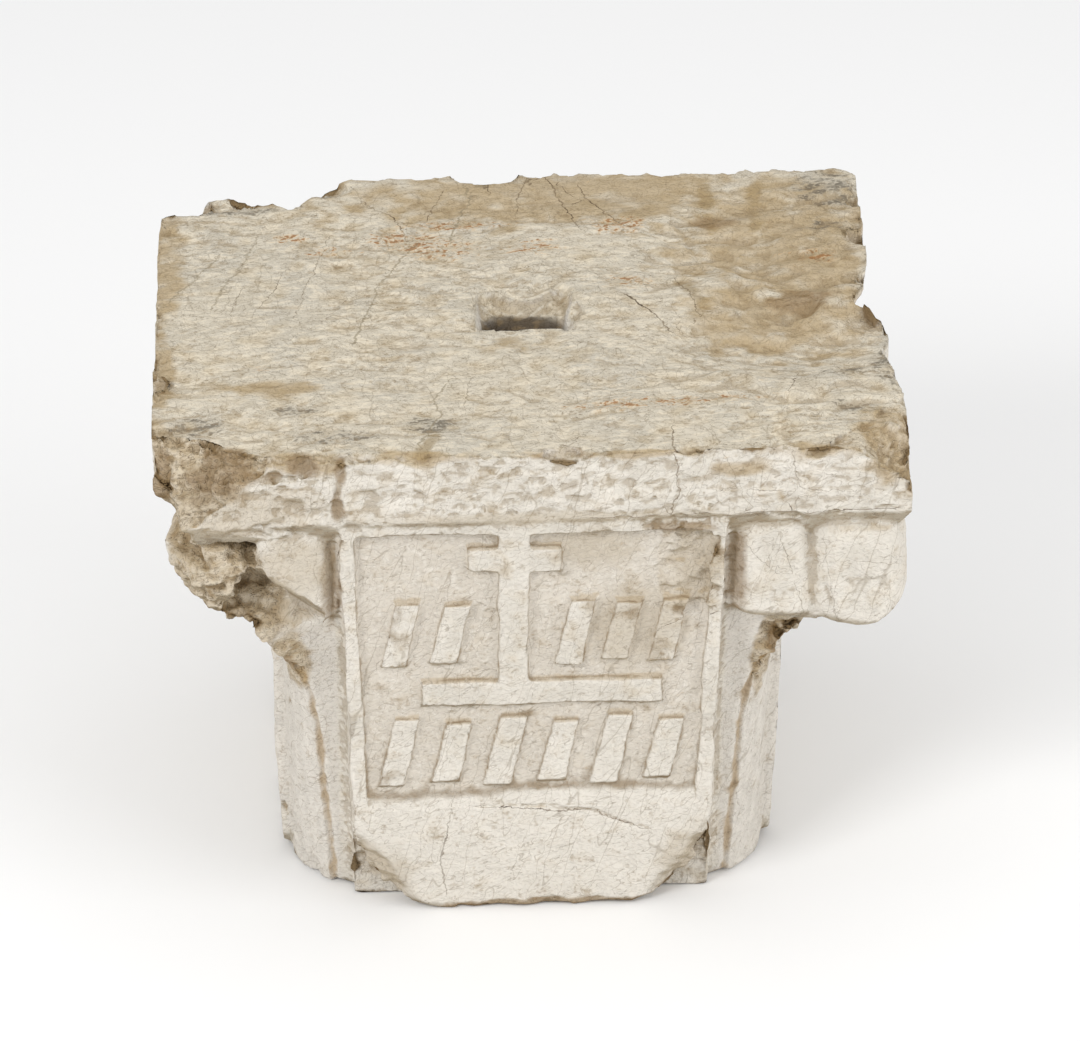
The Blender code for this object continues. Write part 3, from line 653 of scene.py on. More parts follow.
KEPT = {"below": 0.03, "rest": 0.12, "front": 0.63, "top": 0.54, "panel": 0.81}  # share of each
for name, share in KEPT.items():
    chosen = regions()[name]
    stone.data.polygons.foreach_set("select", chosen)
    bpy.ops.object.mode_set(mode="EDIT")
    bpy.context.tool_settings.mesh_select_mode = (False, False, True)
    bpy.ops.mesh.decimate(ratio=share)
    bpy.ops.object.mode_set(mode="OBJECT")
    print(name, "had", int(chosen.sum()), "faces and keeps about", share, "of them")
bpy.ops.object.shade_smooth()
print("now", sum(len(face.vertices) - 2 for face in stone.data.polygons), "triangles")

# %% [markdown]
# ## Where the dirt and the painted shade sit
# Dirt stays where rain and hands don't reach, and shade falls in the same places. Rays from
# each point measure how sheltered it is, and rays that meet stone within a few millimetres
# mark the sharp inner corners. The colour is darkened there, partly as dirt and partly as
# painted shade.

# %% Rays from each point
FAR_REACH = 0.030
NEAR_REACH = 0.0026
RAYS = 12
points = read(stone.data.vertices, "co", 3)
edges = read(stone.data.edges, "vertices", 2)
normal = read(stone.data.vertex_normals, "vector", 3)


def store(name, values):
    """Keep one number for each point of the mesh."""
    layer = stone.data.attributes.get(name) or stone.data.attributes.new(name, "FLOAT", "POINT")
    layer.data.foreach_set("value", np.asarray(values, np.float32))


def sheltered():
    """The share of rays from each point that meet stone again, far off and near by."""
    tree = BVHTree.FromPolygons([tuple(p) for p in points.tolist()],
                                [tuple(f.vertices) for f in stone.data.polygons])
    spread = np.random.default_rng(5).normal(size=(RAYS, 3))
    spread /= np.linalg.norm(spread, axis=1)[:, None]
    blocked = np.zeros((len(points), 2))
    for index, (point, up) in enumerate(zip(points, normal)):
        start = Vector(point + up * 0.0005)
        for way in spread:
            gap = tree.ray_cast(start, Vector(up + 0.95 * way), FAR_REACH)[3]
            if gap is not None:
                blocked[index] += (1.0, gap < NEAR_REACH)
    return blocked.T / RAYS


shelter, crevice = sheltered()
shelter = smoothed(shelter, edges, 4)[:, 0]
crevice = smoothed(crevice, edges, 2)[:, 0]
print("mean shelter", round(float(shelter.mean()), 3), "crevice", round(float(crevice.mean()), 3))

# %% [markdown]
# Averaging tells edges from hollows again, as it did for the wear. These values and the
# parts of the carving are stored on the mesh, where the finish can read them.

# %% Shelter, hollows and edges on the mesh
EDGE_TURNS, HOLLOW_TURNS = 6, 50  # averaging that shows up a sharp edge and a broad hollow
soft = smoothed(points, edges, EDGE_TURNS)
bend = MM * np.einsum("ij,ij->i", points - soft, normal)
broad = MM * np.einsum("ij,ij->i", points - smoothed(soft, edges, HOLLOW_TURNS), normal)
sunk = behind_panel(points)
panel = fade(np.abs(points[:, 0]), PANEL_HALF + 0.002, PANEL_HALF - 0.001) * (points[:, 1] < 0)
panel *= fade(points[:, 2], FACE_FOOT, FACE_FOOT - 0.003) * fade(sunk, 0.012, 0.008)
front = (points[:, 1] < -0.08) * (points[:, 2] < FACE_FOOT)
leaf = front * fade(np.abs(points[:, 0]), 0.1005, 0.1035) * fade(points[:, 2], 0.190, 0.170)
raised = fade(sunk, 0.0034, 0.0014)
field = fade(sunk, 0.0022, 0.0040)
bed = fade(normal[:, 2], 0.35, 0.75) * fade(points[:, 2], TOP - 0.040, TOP - 0.020)
in_hole = patch(points, (0.001, -0.004, TOP - 0.020), (0.026, 0.024, 0.030), 1.0, 0.9)
# shelter darkens the colour in the finish, as dirt and as painted shade; in the dowel hole it counts
# half
store("shelter", shelter * (1 - panel * field) * (1 - 0.5 * in_hole))
# sharp inner corners, darkened in the finish as dirt and painted shade
store("crevice", crevice)
# hollows are darkened in the finish, partly as dirt and partly as painted shade
hollow = fade(-bend, 0.04, 0.25) + 0.3 * fade(-broad, 0.5, 1.8)
store("hollow", hollow * (1 - leaf) * (1 - panel * field) - leaf - panel * field)
store("edge", fade(bend, 0.05, 0.28) * (1 - bed))
store("bed", bed)
# faces that look down get painted shade in the finish
store("under", fade(-normal[:, 2], 0.12, 0.60) * (1 - leaf))
# The raised work is painted whiter only towards the foot: partly its own cleaner face, partly painted
# light for the lower panel, which the lamps above leave darker
store("raised", panel * raised * fade(points[:, 2], 0.150, 0.050))
store("field", panel * field)
# the walls between raised work and field get dirt and painted shade in the finish
store("wall", panel * (1 - raised) * (1 - field) * fade(points[:, 2], 0.064, 0.072))
store("ledge", front * fade(normal[:, 2], 0.20, 0.55) * fade(points[:, 2], 0.02, 0.06))
store("smooth_leaf", leaf)
# painted shadow deep in the dowel hole
store("painted_hole_shadow", in_hole * fade(points[:, 2], TOP - 0.006, TOP - 0.017))
store("crest", fade(off_crest(points), 0.0036, 0.0004))
store("cloud", 0.5 + 0.28 * noise(points, 0.042, 71, 2))
store("mottle", 0.5 + 0.28 * noise(points, (0.013, 0.010, 0.010), 72, 3))
print("stored", len(stone.data.attributes), "attributes")

# %% [markdown]
# ## Stains in their places
# Stains aren't spread evenly. The broken corner and the leaf tops are brown, rust has
# bled in a band across the bed, and lichen grows at its corners. The dull patches are
# partly the stone's own duller tone and partly painted light: painted shade on the front of
# the inner block and along the foot of the abacus, and a painted lift of the block's shaded
# underside by the stump. Each stain is a few soft ellipsoids, which the noise in the finish
# breaks up later.

# %% Stains
STAINS = {
    # name: middle of the stain in metres, its half size in mm
    "brown": [
        ((-0.192, -0.140, 0.268), (10, 22, 28)), ((-0.165, -0.152, 0.281), (28, 16, 20)),
        ((-0.117, FRONT, 0.287), (10, 12, 10)), ((-0.1315, FRONT, 0.281), (6, 8, 4)),
        ((-0.150, -0.140, 0.186), (12, 14, 10)), ((-0.127, -0.121, 0.152), (7, 12, 20)),
        ((0.150, 0.008, TOP), (24, 14, 20)), ((0.112, 0.098, TOP), (18, 10, 20)),
        # the brown beside the panel, at 0.105 either side, is dirt and painted shade in the recesses
        ((0.130, -0.124, 0.160), (8, 12, 18)), ((-0.105, -0.135, 0.212), (9, 30, 36)),
        ((0.105, -0.135, 0.212), (9, 30, 36)), ((-0.090, -0.135, 0.014), (8, 20, 13)),
        ((0.094, -0.135, 0.018), (9, 20, 18)), ((0.078, -0.152, 0.243), (24, 12, 5)),
        ((-0.1005, FRONT, 0.262), (4.5, 10, 16)), ((-0.098, FRONT, 0.282), (4, 10, 12)),
        ((0.016, FRONT, TOP - 0.001), (18, 10, 8)), ((0.020, -0.136, 0.000), (90, 12, 6)),
        # brown deep in the dowel hole: dirt and painted shadow
        ((-0.020, 0.000, 0.256), (40, 30, 12)),
    ],
    "tan": [
        ((-0.120, FRONT, TOP - 0.002), (40, 12, 10)), ((-0.060, FRONT, TOP - 0.001), (40, 8, 7)),
        ((0.040, FRONT, TOP - 0.001), (80, 6, 5)), ((0.140, FRONT, TOP - 0.001), (40, 12, 9)),
        ((0.103, FRONT, 0.279), (18, 8, 7)), ((0.127, FRONT, 0.263), (4, 6, 6)),
        ((0.186, -0.138, TOP - 0.012), (26, 30, 26)), ((0.145, 0.080, TOP), (80, 90, 30)),
        ((0.020, 0.130, TOP), (150, 45, 20)), ((-0.190, 0.060, TOP), (16, 90, 40)),
        ((-0.190, -0.060, TOP), (8, 70, 40)), ((-0.005, -0.036, TOP), (16, 12, 10)),
        ((0.140, -0.010, TOP), (70, 50, 30)), ((0.122, 0.000, TOP), (14, 10, 20)),
        ((-0.130, -0.080, TOP), (30, 14, 10)), ((-0.130, -0.124, 0.155), (16, 26, 34)),
        ((0.132, -0.124, 0.150), (16, 26, 40)), ((0.128, -0.120, 0.115), (6, 16, 30)),
        ((0.160, 0.030, TOP), (40, 40, 30)), ((0.150, 0.110, TOP), (50, 40, 30)),
    ],
    # dull patches: the stone's own duller tone, painted shade on the inner block and along the foot of
    # the abacus, and painted light on the shaded underside by the stump
    "dull_tone_and_painted_light": [
        ((-0.122, -0.145, 0.222), (26, 30, 26)), ((-0.136, -0.128, 0.186), (22, 22, 24)),
        ((0.084, -0.150, 0.215), (16, 12, 35)), ((-0.085, -0.135, 0.020), (26, 22, 30)),
        ((0.086, -0.135, 0.022), (24, 22, 34)), ((-0.140, FRONT, 0.262), (40, 20, 14)),
        ((-0.160, -0.150, 0.256), (30, 30, 16)), ((0.010, FRONT, 0.253), (120, 10, 5)),
        ((0.030, -0.150, 0.232), (30, 10, 20)), ((0.054, -0.146, 0.180), (34, 16, 34)),
    ],
    "rust": [
        ((-0.100, 0.072, TOP), (26, 10, 10)), ((0.060, 0.030, TOP), (20, 10, 10)),
        ((-0.030, 0.100, TOP), (40, 10, 10)), ((-0.060, 0.082, TOP), (30, 18, 10)),
        ((-0.040, 0.072, TOP), (30, 20, 10)), ((0.010, 0.070, TOP), (22, 12, 10)),
        ((0.058, 0.096, TOP), (22, 16, 10)), ((0.060, -0.106, TOP), (60, 8, 10)),
        ((0.105, -0.100, TOP), (25, 6, 10)), ((-0.138, -0.058, TOP), (8, 5, 10)),
        ((-0.122, 0.088, TOP), (14, 8, 10)), ((0.160, 0.056, TOP), (20, 12, 20)),
    ],
    "lichen": [
        ((0.175, 0.135, TOP), (28, 30, 30)), ((0.172, 0.092, TOP), (18, 10, 20)),
        ((-0.170, -0.120, TOP), (22, 14, 15)), ((-0.100, -0.136, TOP), (34, 10, 12)),
        ((-0.120, -0.106, TOP), (18, 8, 10)), ((-0.050, -0.124, TOP), (26, 14, 10)),
        ((0.170, -0.114, TOP), (22, 8, 20)), ((0.166, -0.074, TOP), (18, 16, 20)),
        ((0.188, -0.060, TOP), (12, 50, 20)), ((-0.102, 0.140, TOP), (10, 10, 12)),
        ((-0.150, 0.120, TOP), (40, 6, 12)), ((0.080, -0.152, 0.238), (14, 10, 10)),
    ],
}
BANDS = [
    [(0.1085, 0.139, TOP), (0.108, 0.110, TOP), (0.109, 0.083, TOP)],
    [(0.1356, 0.1375, TOP), (0.1315, 0.0857, TOP)],
    [(0.0893, 0.0997, TOP), (0.0962, 0.0731, TOP), (0.1041, 0.0539, TOP), (0.1123, 0.0476, TOP)],
    [(0.0871, 0.0261, TOP), (0.0999, -0.0025, TOP)],
    [(-0.0495, -0.1379, TOP), (-0.0582, -0.1568, TOP)],
]
gap = np.min([nearest_on(points, path) for path in BANDS], axis=0)
store("band", fade(gap, 0.0070, 0.0010))
for name, places in STAINS.items():
    total = np.zeros(len(points))
    for centre, size in places:
        total = np.maximum(total, patch(points, centre, np.array(size) / MM, 1.30, 0.30))
    store(name, total)
    print(name, "in", len(places), "places")

# %% [markdown]
# ## Cracks
# A crack is thinner than the mesh, so it is drawn by the finish. Each point stores its
# distance to the nearest crack, with a sign for the side it lies on. Between two points
# on either side that number passes through zero exactly on the crack, however coarse the
# mesh is. Some cracks have healed with calcite into soft grey veins.

# %% Where the cracks run
ACROSS_BED = [
    # half width in mm, how much a soft vein, X and Y in mm of the places it runs through
    (1.3, 0.8, [(-53, 78), (-61, 62), (-75, 29), (-83, -6), (-88, -32)]),
    (0.6, 0.3, [(-101, 86), (-108, 51), (-113, 30), (-119, -2)]),
    (1.0, 0.6, [(-138, 90), (-147, 58), (-158, 30), (-163, 10)]),
    (0.4, 0.3, [(-126, 44), (-130, 29), (-141, 4)]),
    (0.4, 0.3, [(-148, 27), (-153, 3)]),
    (0.5, 0.0, [(-37, 135), (-42, 122), (-48, 104)]),
    (0.6, 0.2, [(-80, 129), (-63, 107), (-58, 83)]),
    (0.5, 0.2, [(-11, 158), (-12, 138)]),
    (1.4, 0.9, [(-16, 150), (-30, 103), (-34, 82)]),
    (0.4, 0.2, [(-90, 22), (-104, -9)]),
    (0.9, 0.7, [(-161, 66), (-173, 41), (-189, 13)]),
    (0.6, 0.0, [(18, 158), (25, 140), (30, 114), (36, 94)]),
    (0.6, 0.0, [(38, 142), (44, 124), (59, 97), (68, 90)]),
    (0.5, 0.2, [(12, 156), (5, 131), (2, 111)]),
    (0.9, 0.0, [(57, 12), (65, 0), (73, -11), (78, -26), (124, -60)]),
    (0.5, 0.2, [(83, 33), (92, 13), (95, -9), (89, -24)]),
    (0.7, 0.3, [(132, 14), (135, -14), (133, -49), (124, -60)]),
    (0.5, 0.4, [(-29, -76), (-33, -105)]),
    (0.9, 0.8, [(-39, -74), (-49, -96), (-46, -114), (-57, -145)]),
    (0.5, 0.1, [(145, -68), (138, -88), (136, -95)]),
    (0.5, 0.2, [(11, -153), (22, -144), (27, -137)]),
    (0.6, 0.5, [(148, 12), (179, 28)]),
]
ELSEWHERE = [
    # half width in mm, how much a soft vein, and the places in metres
    (0.65, 0.0, [(0.072, -0.136, TOP), (0.0725, FRONT, TOP - 0.002), (0.0734, FRONT, 0.280),
                (0.0748, FRONT, 0.268), (0.0709, FRONT, 0.254)]),
    (0.8, 0.0, [(0.108, FRONT, 0.2525), (0.140, FRONT, 0.2520), (0.184, FRONT, 0.2530)]),
    (0.7, 0.0, [(0.030, FRONT, 0.2520), (0.092, FRONT, 0.2525)]),
    (0.5, 0.0, [(-0.029, -0.140, 0.067), (0.034, -0.140, 0.063), (0.048, -0.139, 0.055),
                (0.061, -0.139, 0.050)]),
    (0.5, 0.1, [(0.056, -0.150, 0.174), (0.069, -0.150, 0.182), (0.082, -0.151, 0.188),
                (0.100, -0.151, 0.190)]),
    (0.4, 0.2, [(-0.033, -0.148, 0.154), (-0.027, -0.149, 0.173), (-0.018, -0.151, 0.194)]),
    (0.6, 0.4, [(-0.041, -0.141, 0.072), (-0.045, -0.139, 0.053), (-0.049, -0.137, 0.033),
                (-0.046, -0.135, 0.012)]),
    (0.4, 0.5, [(0.148, -0.156, 0.236), (0.152, -0.156, 0.212), (0.158, -0.156, 0.185)]),
    (0.4, 0.5, [(0.128, -0.153, 0.234), (0.136, -0.153, 0.208), (0.140, -0.153, 0.192)]),
    (0.3, 0.3, [(0.168, -0.156, 0.222), (0.192, -0.156, 0.219)]),
    (0.3, 0.3, [(0.112, -0.153, 0.228), (0.126, -0.153, 0.214)]),
    (0.4, 0.5, [(0.086, -0.156, 0.245), (0.062, -0.154, 0.226), (0.050, -0.152, 0.208)]),
    (0.3, 0.3, [(0.095, FRONT, 0.267), (0.130, FRONT, 0.266), (0.167, FRONT, 0.265)]),
    (0.4, 0.5, [(0.098, FRONT, 0.288), (0.108, FRONT, 0.262), (0.116, FRONT, 0.252)]),
    (0.45, 0.4, [(0.132, FRONT, 0.290), (0.136, FRONT, 0.268), (0.134, FRONT, 0.252)]),
    (0.6, 0.9, [(-0.136, -0.090, 0.120), (-0.124, -0.112, 0.110)]),
    (0.5, 0.4, [(0.120, -0.118, 0.078), (0.134, -0.098, 0.082)]),
    (0.4, 0.6, [(-0.110, -0.124, 0.066), (-0.098, -0.126, 0.055)]),
    (0.5, 0.3, [(0.150, 0.150, 0.270), (0.140, 0.155, 0.240), (0.110, 0.150, 0.220)]),
    (0.5, 0.3, [(-0.060, 0.145, 0.220), (-0.020, 0.143, 0.150), (-0.030, 0.138, 0.070)]),
    (0.5, 0.4, [(0.138, 0.060, 0.180), (0.136, 0.020, 0.110), (0.136, 0.040, 0.040)]),
]
CRACKS = [(width, vein, [(x / MM, y / MM, TOP) for x, y in path]) for width, vein, path in ACROSS_BED]
CRACKS += ELSEWHERE
print(len(ACROSS_BED), "cracks across the bed and", len(ELSEWHERE), "elsewhere")

# %% [markdown]
# The side of a crack is told by the cross product of its direction with the surface normal.
# The width fades out a few millimetres away, so nothing is drawn where two cracks' sides
# change over.

# %% Signed distance to the nearest crack
FAR = 1000.0  # mm, farther than any crack
nearest = np.full(len(points), FAR)
side_of = np.full(len(points), FAR)
widths = np.ones(len(points))
softness = np.zeros(len(points))
for width, vein, path in CRACKS:
    path = [np.array(point) for point in path]
    for start, end in zip(path, path[1:]):
        away = MM * from_line(points, start, end)
        gap = np.linalg.norm(away, axis=1)
        across = np.cross((end - start) / np.linalg.norm(end - start), normal)
        closer = gap < nearest
        nearest = np.where(closer, gap, nearest)
        side_of = np.where(closer, np.sign(np.einsum("ij,ij->i", away, across)) * gap, side_of)
        widths = np.where(closer, width, widths)
        softness = np.where(closer, vein, softness)
store("crack_side", np.clip(side_of, -50.0, 50.0))
store("crack_width", np.maximum(widths * fade(nearest, 7.0, 4.5), 0.01))
store("crack_soft", softness)
print(len(CRACKS), "cracks reach", int((nearest < 3).sum()), "points")

# %% [markdown]
# ## The finish: weathered limestone
# Crystalline limestone breaks pale cream and turns warmer and greyer with age. It scatters
# light evenly, so it is matt, and its colour comes from fine things laid over each other:
# a mottled body, streaks along the bedding, hair cracks with dirt in them, and stains. The
# finish is built the same way, as layers of colour, each through a mask. Some of the layers
# also paint shade and shadow into the colour, in hollows, corners, undersides and flakes.

# %% Colours and a node helper


def colour(hexadecimal):
    """An sRGB hex colour as linear red, green, blue and alpha."""
    parts = [int(hexadecimal[i:i + 2], 16) / 255 for i in (0, 2, 4)]
    linear = [c / 12.92 if c <= 0.04045 else ((c + 0.055) / 1.055) ** 2.4 for c in parts]
    return (*linear, 1.0)


limestone = bpy.data.materials.new("Weathered limestone")
limestone.use_nodes = True
tree = limestone.node_tree
shader = tree.nodes["Principled BSDF"]


def add(kind, inputs=None, **settings):
    """Add a node with its settings, and fill or link its sockets."""
    made = tree.nodes.new("ShaderNode" + kind)
    for name, value in settings.items():
        setattr(made, name, value)
    for key, value in (inputs or {}).items():
        if isinstance(value, bpy.types.NodeSocket):
            tree.links.new(value, made.inputs[key])
        else:
            made.inputs[key].default_value = value
    return made


print("made", limestone.name)

# %% [markdown]
# The patterns come first. The broad ones are already stored on the mesh. The others are
# noises with a size in millimetres along each axis, turned so that they follow the rock.
# They read the place on the object, pushed about a little by the mottle so that nothing
# runs straight. The stone's own grains are under a millimetre, too fine to show, so the
# specks are drawn two millimetres wide.

# %% Patterns
ATTRIBUTES = ("shelter", "painted_hole_shadow", "crevice", "hollow", "edge", "bed", "under", "raised", "field",
              "ledge", "smooth_leaf", "broken", "crest", "wall", "band", "cloud", "mottle", "brown",
              "tan", "dull_tone_and_painted_light", "rust", "lichen", "crack_side", "crack_width", "crack_soft")
NOISES = {
    # name: size along X, Y and Z in mm, turn about Y and Z in degrees, detail, shift in mm
    "speck": ((2.4, 2.1, 2.1), (0, 0), 1.0, 12),
    "streak": ((10.0, 4.2, 3.6), (3, 5), 2.0, 46),
    "hair": ((9.0, 30.0, 90.0), (16, 14), 0.0, 112),
    "fine": ((26.0, 7.0, 5.0), (-24, -22), 1.0, 66),
}
pattern = {name: add("Attribute", attribute_name=name).outputs["Fac"] for name in ATTRIBUTES}
place = add("TexCoord").outputs["Object"]
bent = add("VectorMath", {0: pattern["mottle"], 1: (0.006, 0.007, 0.006), 2: place},
           operation="MULTIPLY_ADD").outputs[0]
for name, (size, (lean, turn), detail, shift) in NOISES.items():
    spot = add("Mapping", {"Vector": bent, "Location": [shift / MM] * 3,
                           "Rotation": (0, math.radians(lean), math.radians(turn)),
                           "Scale": [side / MM for side in size]}, vector_type="TEXTURE").outputs[0]
    pattern[name] = add("TexNoise", {"Vector": spot, "Scale": 1.0, "Detail": detail,
                                     "Roughness": 0.62}).outputs["Fac"]
print(len(ATTRIBUTES), "patterns from the mesh and", len(NOISES), "noises")

# %% [markdown]
# Where a noise passes through its middle value it draws a thin wandering line, as hair
# cracks do. The streak noise draws such lines too, on the bed, the breaks and the
# undersides, as painted shadows at the edges of flakes. A stain with noise added to it gets
# a ragged outline. The line of a crack is where its signed distance, shaken by noise, is
# smaller than its width.

# %% Lines and ragged stains
LINE_LEVELS = {"hair": 0.50, "fine": 0.50, "streak": 0.44}
RAGGED = [
    # pattern, the noise that breaks up its outline, how much
    ("brown", "mottle", 1.4),
    ("tan", "mottle", 1.8),
    ("dull_tone_and_painted_light", "mottle", 1.0),
    ("rust", "streak", 2.4),
    ("rust", "speck", 1.8),
    ("lichen", "streak", 2.4),
    ("crest", "mottle", 1.6),
    ("hollow", "speck", 1.1),
    ("broken", "mottle", 0.5),
    ("band", "mottle", 1.6),
    ("wall", "mottle", 0.8),
    ("crevice", "mottle", 0.5),
]
CRACK_SHAKE = {"mottle": 5.0, "speck": 2.4}  # mm
for name, level in LINE_LEVELS.items():
    away = add("Math", {0: pattern[name], 1: level}, operation="SUBTRACT").outputs[0]
    pattern[name + "_line"] = add("Math", {0: away}, operation="ABSOLUTE").outputs[0]
for name, ragged_by, amount in RAGGED:
    rough = add("Math", {0: pattern[ragged_by], 1: amount, 2: -amount / 2}, operation="MULTIPLY_ADD")
    pattern[name] = add("Math", {0: pattern[name], 1: rough.outputs[0]}, operation="ADD").outputs[0]
pattern["pits"] = add("Math", {0: pattern["speck"], 1: pattern["lichen"]},
                      operation="MULTIPLY").outputs[0]

shaken = pattern["crack_side"]
for name, amount in CRACK_SHAKE.items():
    shaken = add("Math", {0: pattern[name], 1: amount, 2: shaken}, operation="MULTIPLY_ADD").outputs[0]
shaken = add("Math", {0: shaken, 1: sum(CRACK_SHAKE.values()) / 2}, operation="SUBTRACT").outputs[0]
off_line = add("Math", {0: shaken}, operation="ABSOLUTE").outputs[0]
pattern["crack_line"] = add("Math", {0: off_line, 1: pattern["crack_width"]},
                            operation="DIVIDE").outputs[0]
print(len(LINE_LEVELS), "kinds of thin lines,", len(RAGGED), "ragged outlines")

# %% [markdown]
# A mask is a pattern pushed towards black and white between two levels. The closer the two
# levels are, the sharper its outline.

# %% Masks
LEVELS = {
    # name: pattern, level for none, level for full
    "cloudy": ("cloud", 0.46, 0.66),
    "clear": ("cloud", 0.54, 0.34),
    "warm": ("mottle", 0.48, 0.66),
    "grey": ("mottle", 0.50, 0.34),
    "specks": ("speck", 0.56, 0.66),
    "light_specks": ("speck", 0.46, 0.36),
    "light_streaks": ("streak", 0.53, 0.63),
    "dark_streaks": ("streak", 0.45, 0.35),
    # thin dark lines at the edges of flakes: painted flake shadows
    "painted_flake_shadow_lines": ("streak_line", 0.014, 0.003),
    "hair_lines": ("hair_line", 0.009, 0.002),
    "fine_lines": ("fine_line", 0.012, 0.002),
    "crack_lines": ("crack_line", 1.0, 0.45),
    "open_crack": ("crack_soft", 0.65, 0.15),
    "vein": ("crack_soft", 0.15, 0.85),
    # The next five masks carry dirt and painted shade: sheltered places, deeply sheltered ones, the
    # painted shadow deep in the dowel hole, sharp inner corners and hollows
    "sheltered": ("shelter", 0.25, 0.70),
    "deep": ("shelter", 0.62, 0.95),
    "painted_hole_shadow": ("painted_hole_shadow", 0.0, 1.0),
    "crevice_dirt_and_painted_shade": ("crevice", 0.10, 0.36),
    "hollow_dirt_and_painted_shade": ("hollow", 0.35, 0.95),
    "edges": ("edge", 0.1, 0.9),
    "bed": ("bed", 0.2, 0.8),
    # painted shade on faces that look down
    "under": ("under", 0.2, 0.8),
    # raised work near the foot: partly its own whiter face, partly painted light
    "raised": ("raised", 0.2, 0.8),
    "field": ("field", 0.2, 0.8),
    "ledge": ("ledge", 0.2, 0.9),
    "leaf": ("smooth_leaf", 0.2, 0.8),
    "broken": ("broken", 0.15, 0.7),
    "off_broken": ("broken", 0.5, 0.1),
    "crests": ("crest", 0.50, 1.00),
    # walls of the raised work: dirt and painted shade
    "wall_dirt_and_painted_shade": ("wall", 0.10, 0.60),
    "bands": ("band", 0.35, 0.80),
    "brown": ("brown", 0.35, 0.75),
    "tan": ("tan", 0.35, 0.90),
    # dull patches: own duller tone, painted shade and painted light
    "dull_tone_and_painted_light": ("dull_tone_and_painted_light", 0.20, 0.90),
    "rust": ("rust", 1.10, 1.28),
    "rusty": ("rust", 0.70, 1.20),
    "lichen": ("lichen", 0.55, 1.20),
    "pits": ("pits", 0.42, 0.55),
}
mask = {}
for name, (source_name, none, full) in LEVELS.items():
    mask[name] = add("MapRange", {"Value": pattern[source_name], "From Min": none,
                                  "From Max": full}).outputs[0]
print(len(mask), "masks")

# %% [markdown]
# Each layer of colour goes over the ones before it, through the product of its masks.

# %% Layers of colour
LAYERS = [
    # colour, strength, masks
    ("C9C1B4", 0.50, ["grey"]),
    ("E3DDD3", 0.50, ["cloudy"]),
    ("CDBFA8", 0.30, ["warm"]),
    ("D4CEC5", 0.75, ["leaf"]),
    # whiter raised work near the foot: partly its own face, partly painted light
    ("E5DFD5", 0.55, ["raised"]),
    ("CEC4B6", 0.50, ["field"]),
    ("E2DCD1", 0.35, ["field", "light_specks"]),
    ("E8E2D8", 0.35, ["edges"]),
    ("CDC4B2", 0.90, ["bed"]),
    ("C2BCAF", 0.55, ["bed", "clear"]),
    ("BFA982", 0.30, ["bed", "warm"]),
    ("DED3BE", 0.65, ["bed", "light_streaks"]),
    ("AC9F87", 0.30, ["bed", "dark_streaks"]),
    # painted flake shadows on the bed
    ("7B6C55", 0.60, ["bed", "painted_flake_shadow_lines"]),
    ("8F7B58", 0.60, ["bands"]),
    ("A68E66", 0.62, ["tan"]),
    ("C2A074", 0.50, ["rusty"]),
    ("915F33", 0.72, ["rust"]),
    ("8E887C", 0.45, ["lichen"]),
    ("5F584D", 0.70, ["lichen", "pits"]),
    ("B5A284", 0.75, ["broken"]),
    ("8E7652", 0.55, ["broken", "warm"]),
    ("CFC3AD", 0.55, ["broken", "light_streaks"]),
    ("D8CDBA", 0.45, ["broken", "edges"]),
    # painted flake shadows on the breaks
    ("5E4A31", 0.65, ["broken", "painted_flake_shadow_lines"]),
    # painted shade on faces that look down, with darker streaks and painted flake shadows in it
    ("94866D", 0.72, ["under"]),
    ("736249", 0.45, ["under", "dark_streaks"]),
    ("4E4030", 0.60, ["under", "painted_flake_shadow_lines"]),
    ("8C7455", 0.65, ["brown"]),
    ("6F5838", 0.45, ["brown", "dark_streaks"]),
    # dull patches: own duller tone, painted shade and painted light
    ("BBAE99", 0.55, ["dull_tone_and_painted_light"]),
    ("AC956F", 0.40, ["ledge"]),
    ("A58758", 0.60, ["crests"]),
    # walls of the raised work: dirt and painted shade
    ("7F6847", 0.67, ["wall_dirt_and_painted_shade"]),
    ("82735C", 0.36, ["hair_lines", "off_broken"]),
    ("7C6C56", 0.40, ["fine_lines"]),
    ("A3927A", 0.40, ["specks", "warm"]),
    # dirt and painted shade where the stone is sheltered
    ("A08C6E", 0.45, ["sheltered"]),
    # dark lines in the sharp inner corners: dirt and painted shade
    ("77603F", 0.80, ["crevice_dirt_and_painted_shade"]),
    # darker still, as dirt and painted shade, where the stone is deeply sheltered
    ("5A4831", 0.60, ["deep"]),
    # painted shadow deep in the dowel hole
    ("3A2B1A", 0.88, ["painted_hole_shadow"]),
    # hollows: dirt and painted shade
    ("8F7B5D", 0.40, ["hollow_dirt_and_painted_shade"]),
    ("8C8069", 0.65, ["crack_lines", "vein"]),
    ("6A5841", 0.60, ["crack_lines", "open_crack"]),
    ("40352A", 0.75, ["crack_lines", "open_crack", "warm"]),
]
surface = colour("D4CEC3")
for tint, strength, names in LAYERS:
    through = strength
    for name in names:
        through = add("Math", {0: mask[name], 1: through}, operation="MULTIPLY").outputs[0]
    surface = add("Mix", {0: through, 6: surface, 7: colour(tint)}, data_type="RGBA").outputs[2]
tree.links.new(surface, shader.inputs["Base Color"])
shader.inputs["IOR"].default_value = 1.50
shader.inputs["Roughness"].default_value = 0.95
shader.inputs["Specular IOR Level"].default_value = 0.0  # dust leaves no sheen
print(len(LAYERS), "layers of colour")

# %% [markdown]
# The same masks give the relief that is finer than the mesh. Heights are in millimetres,
# and the bump node turns their sum into shading.

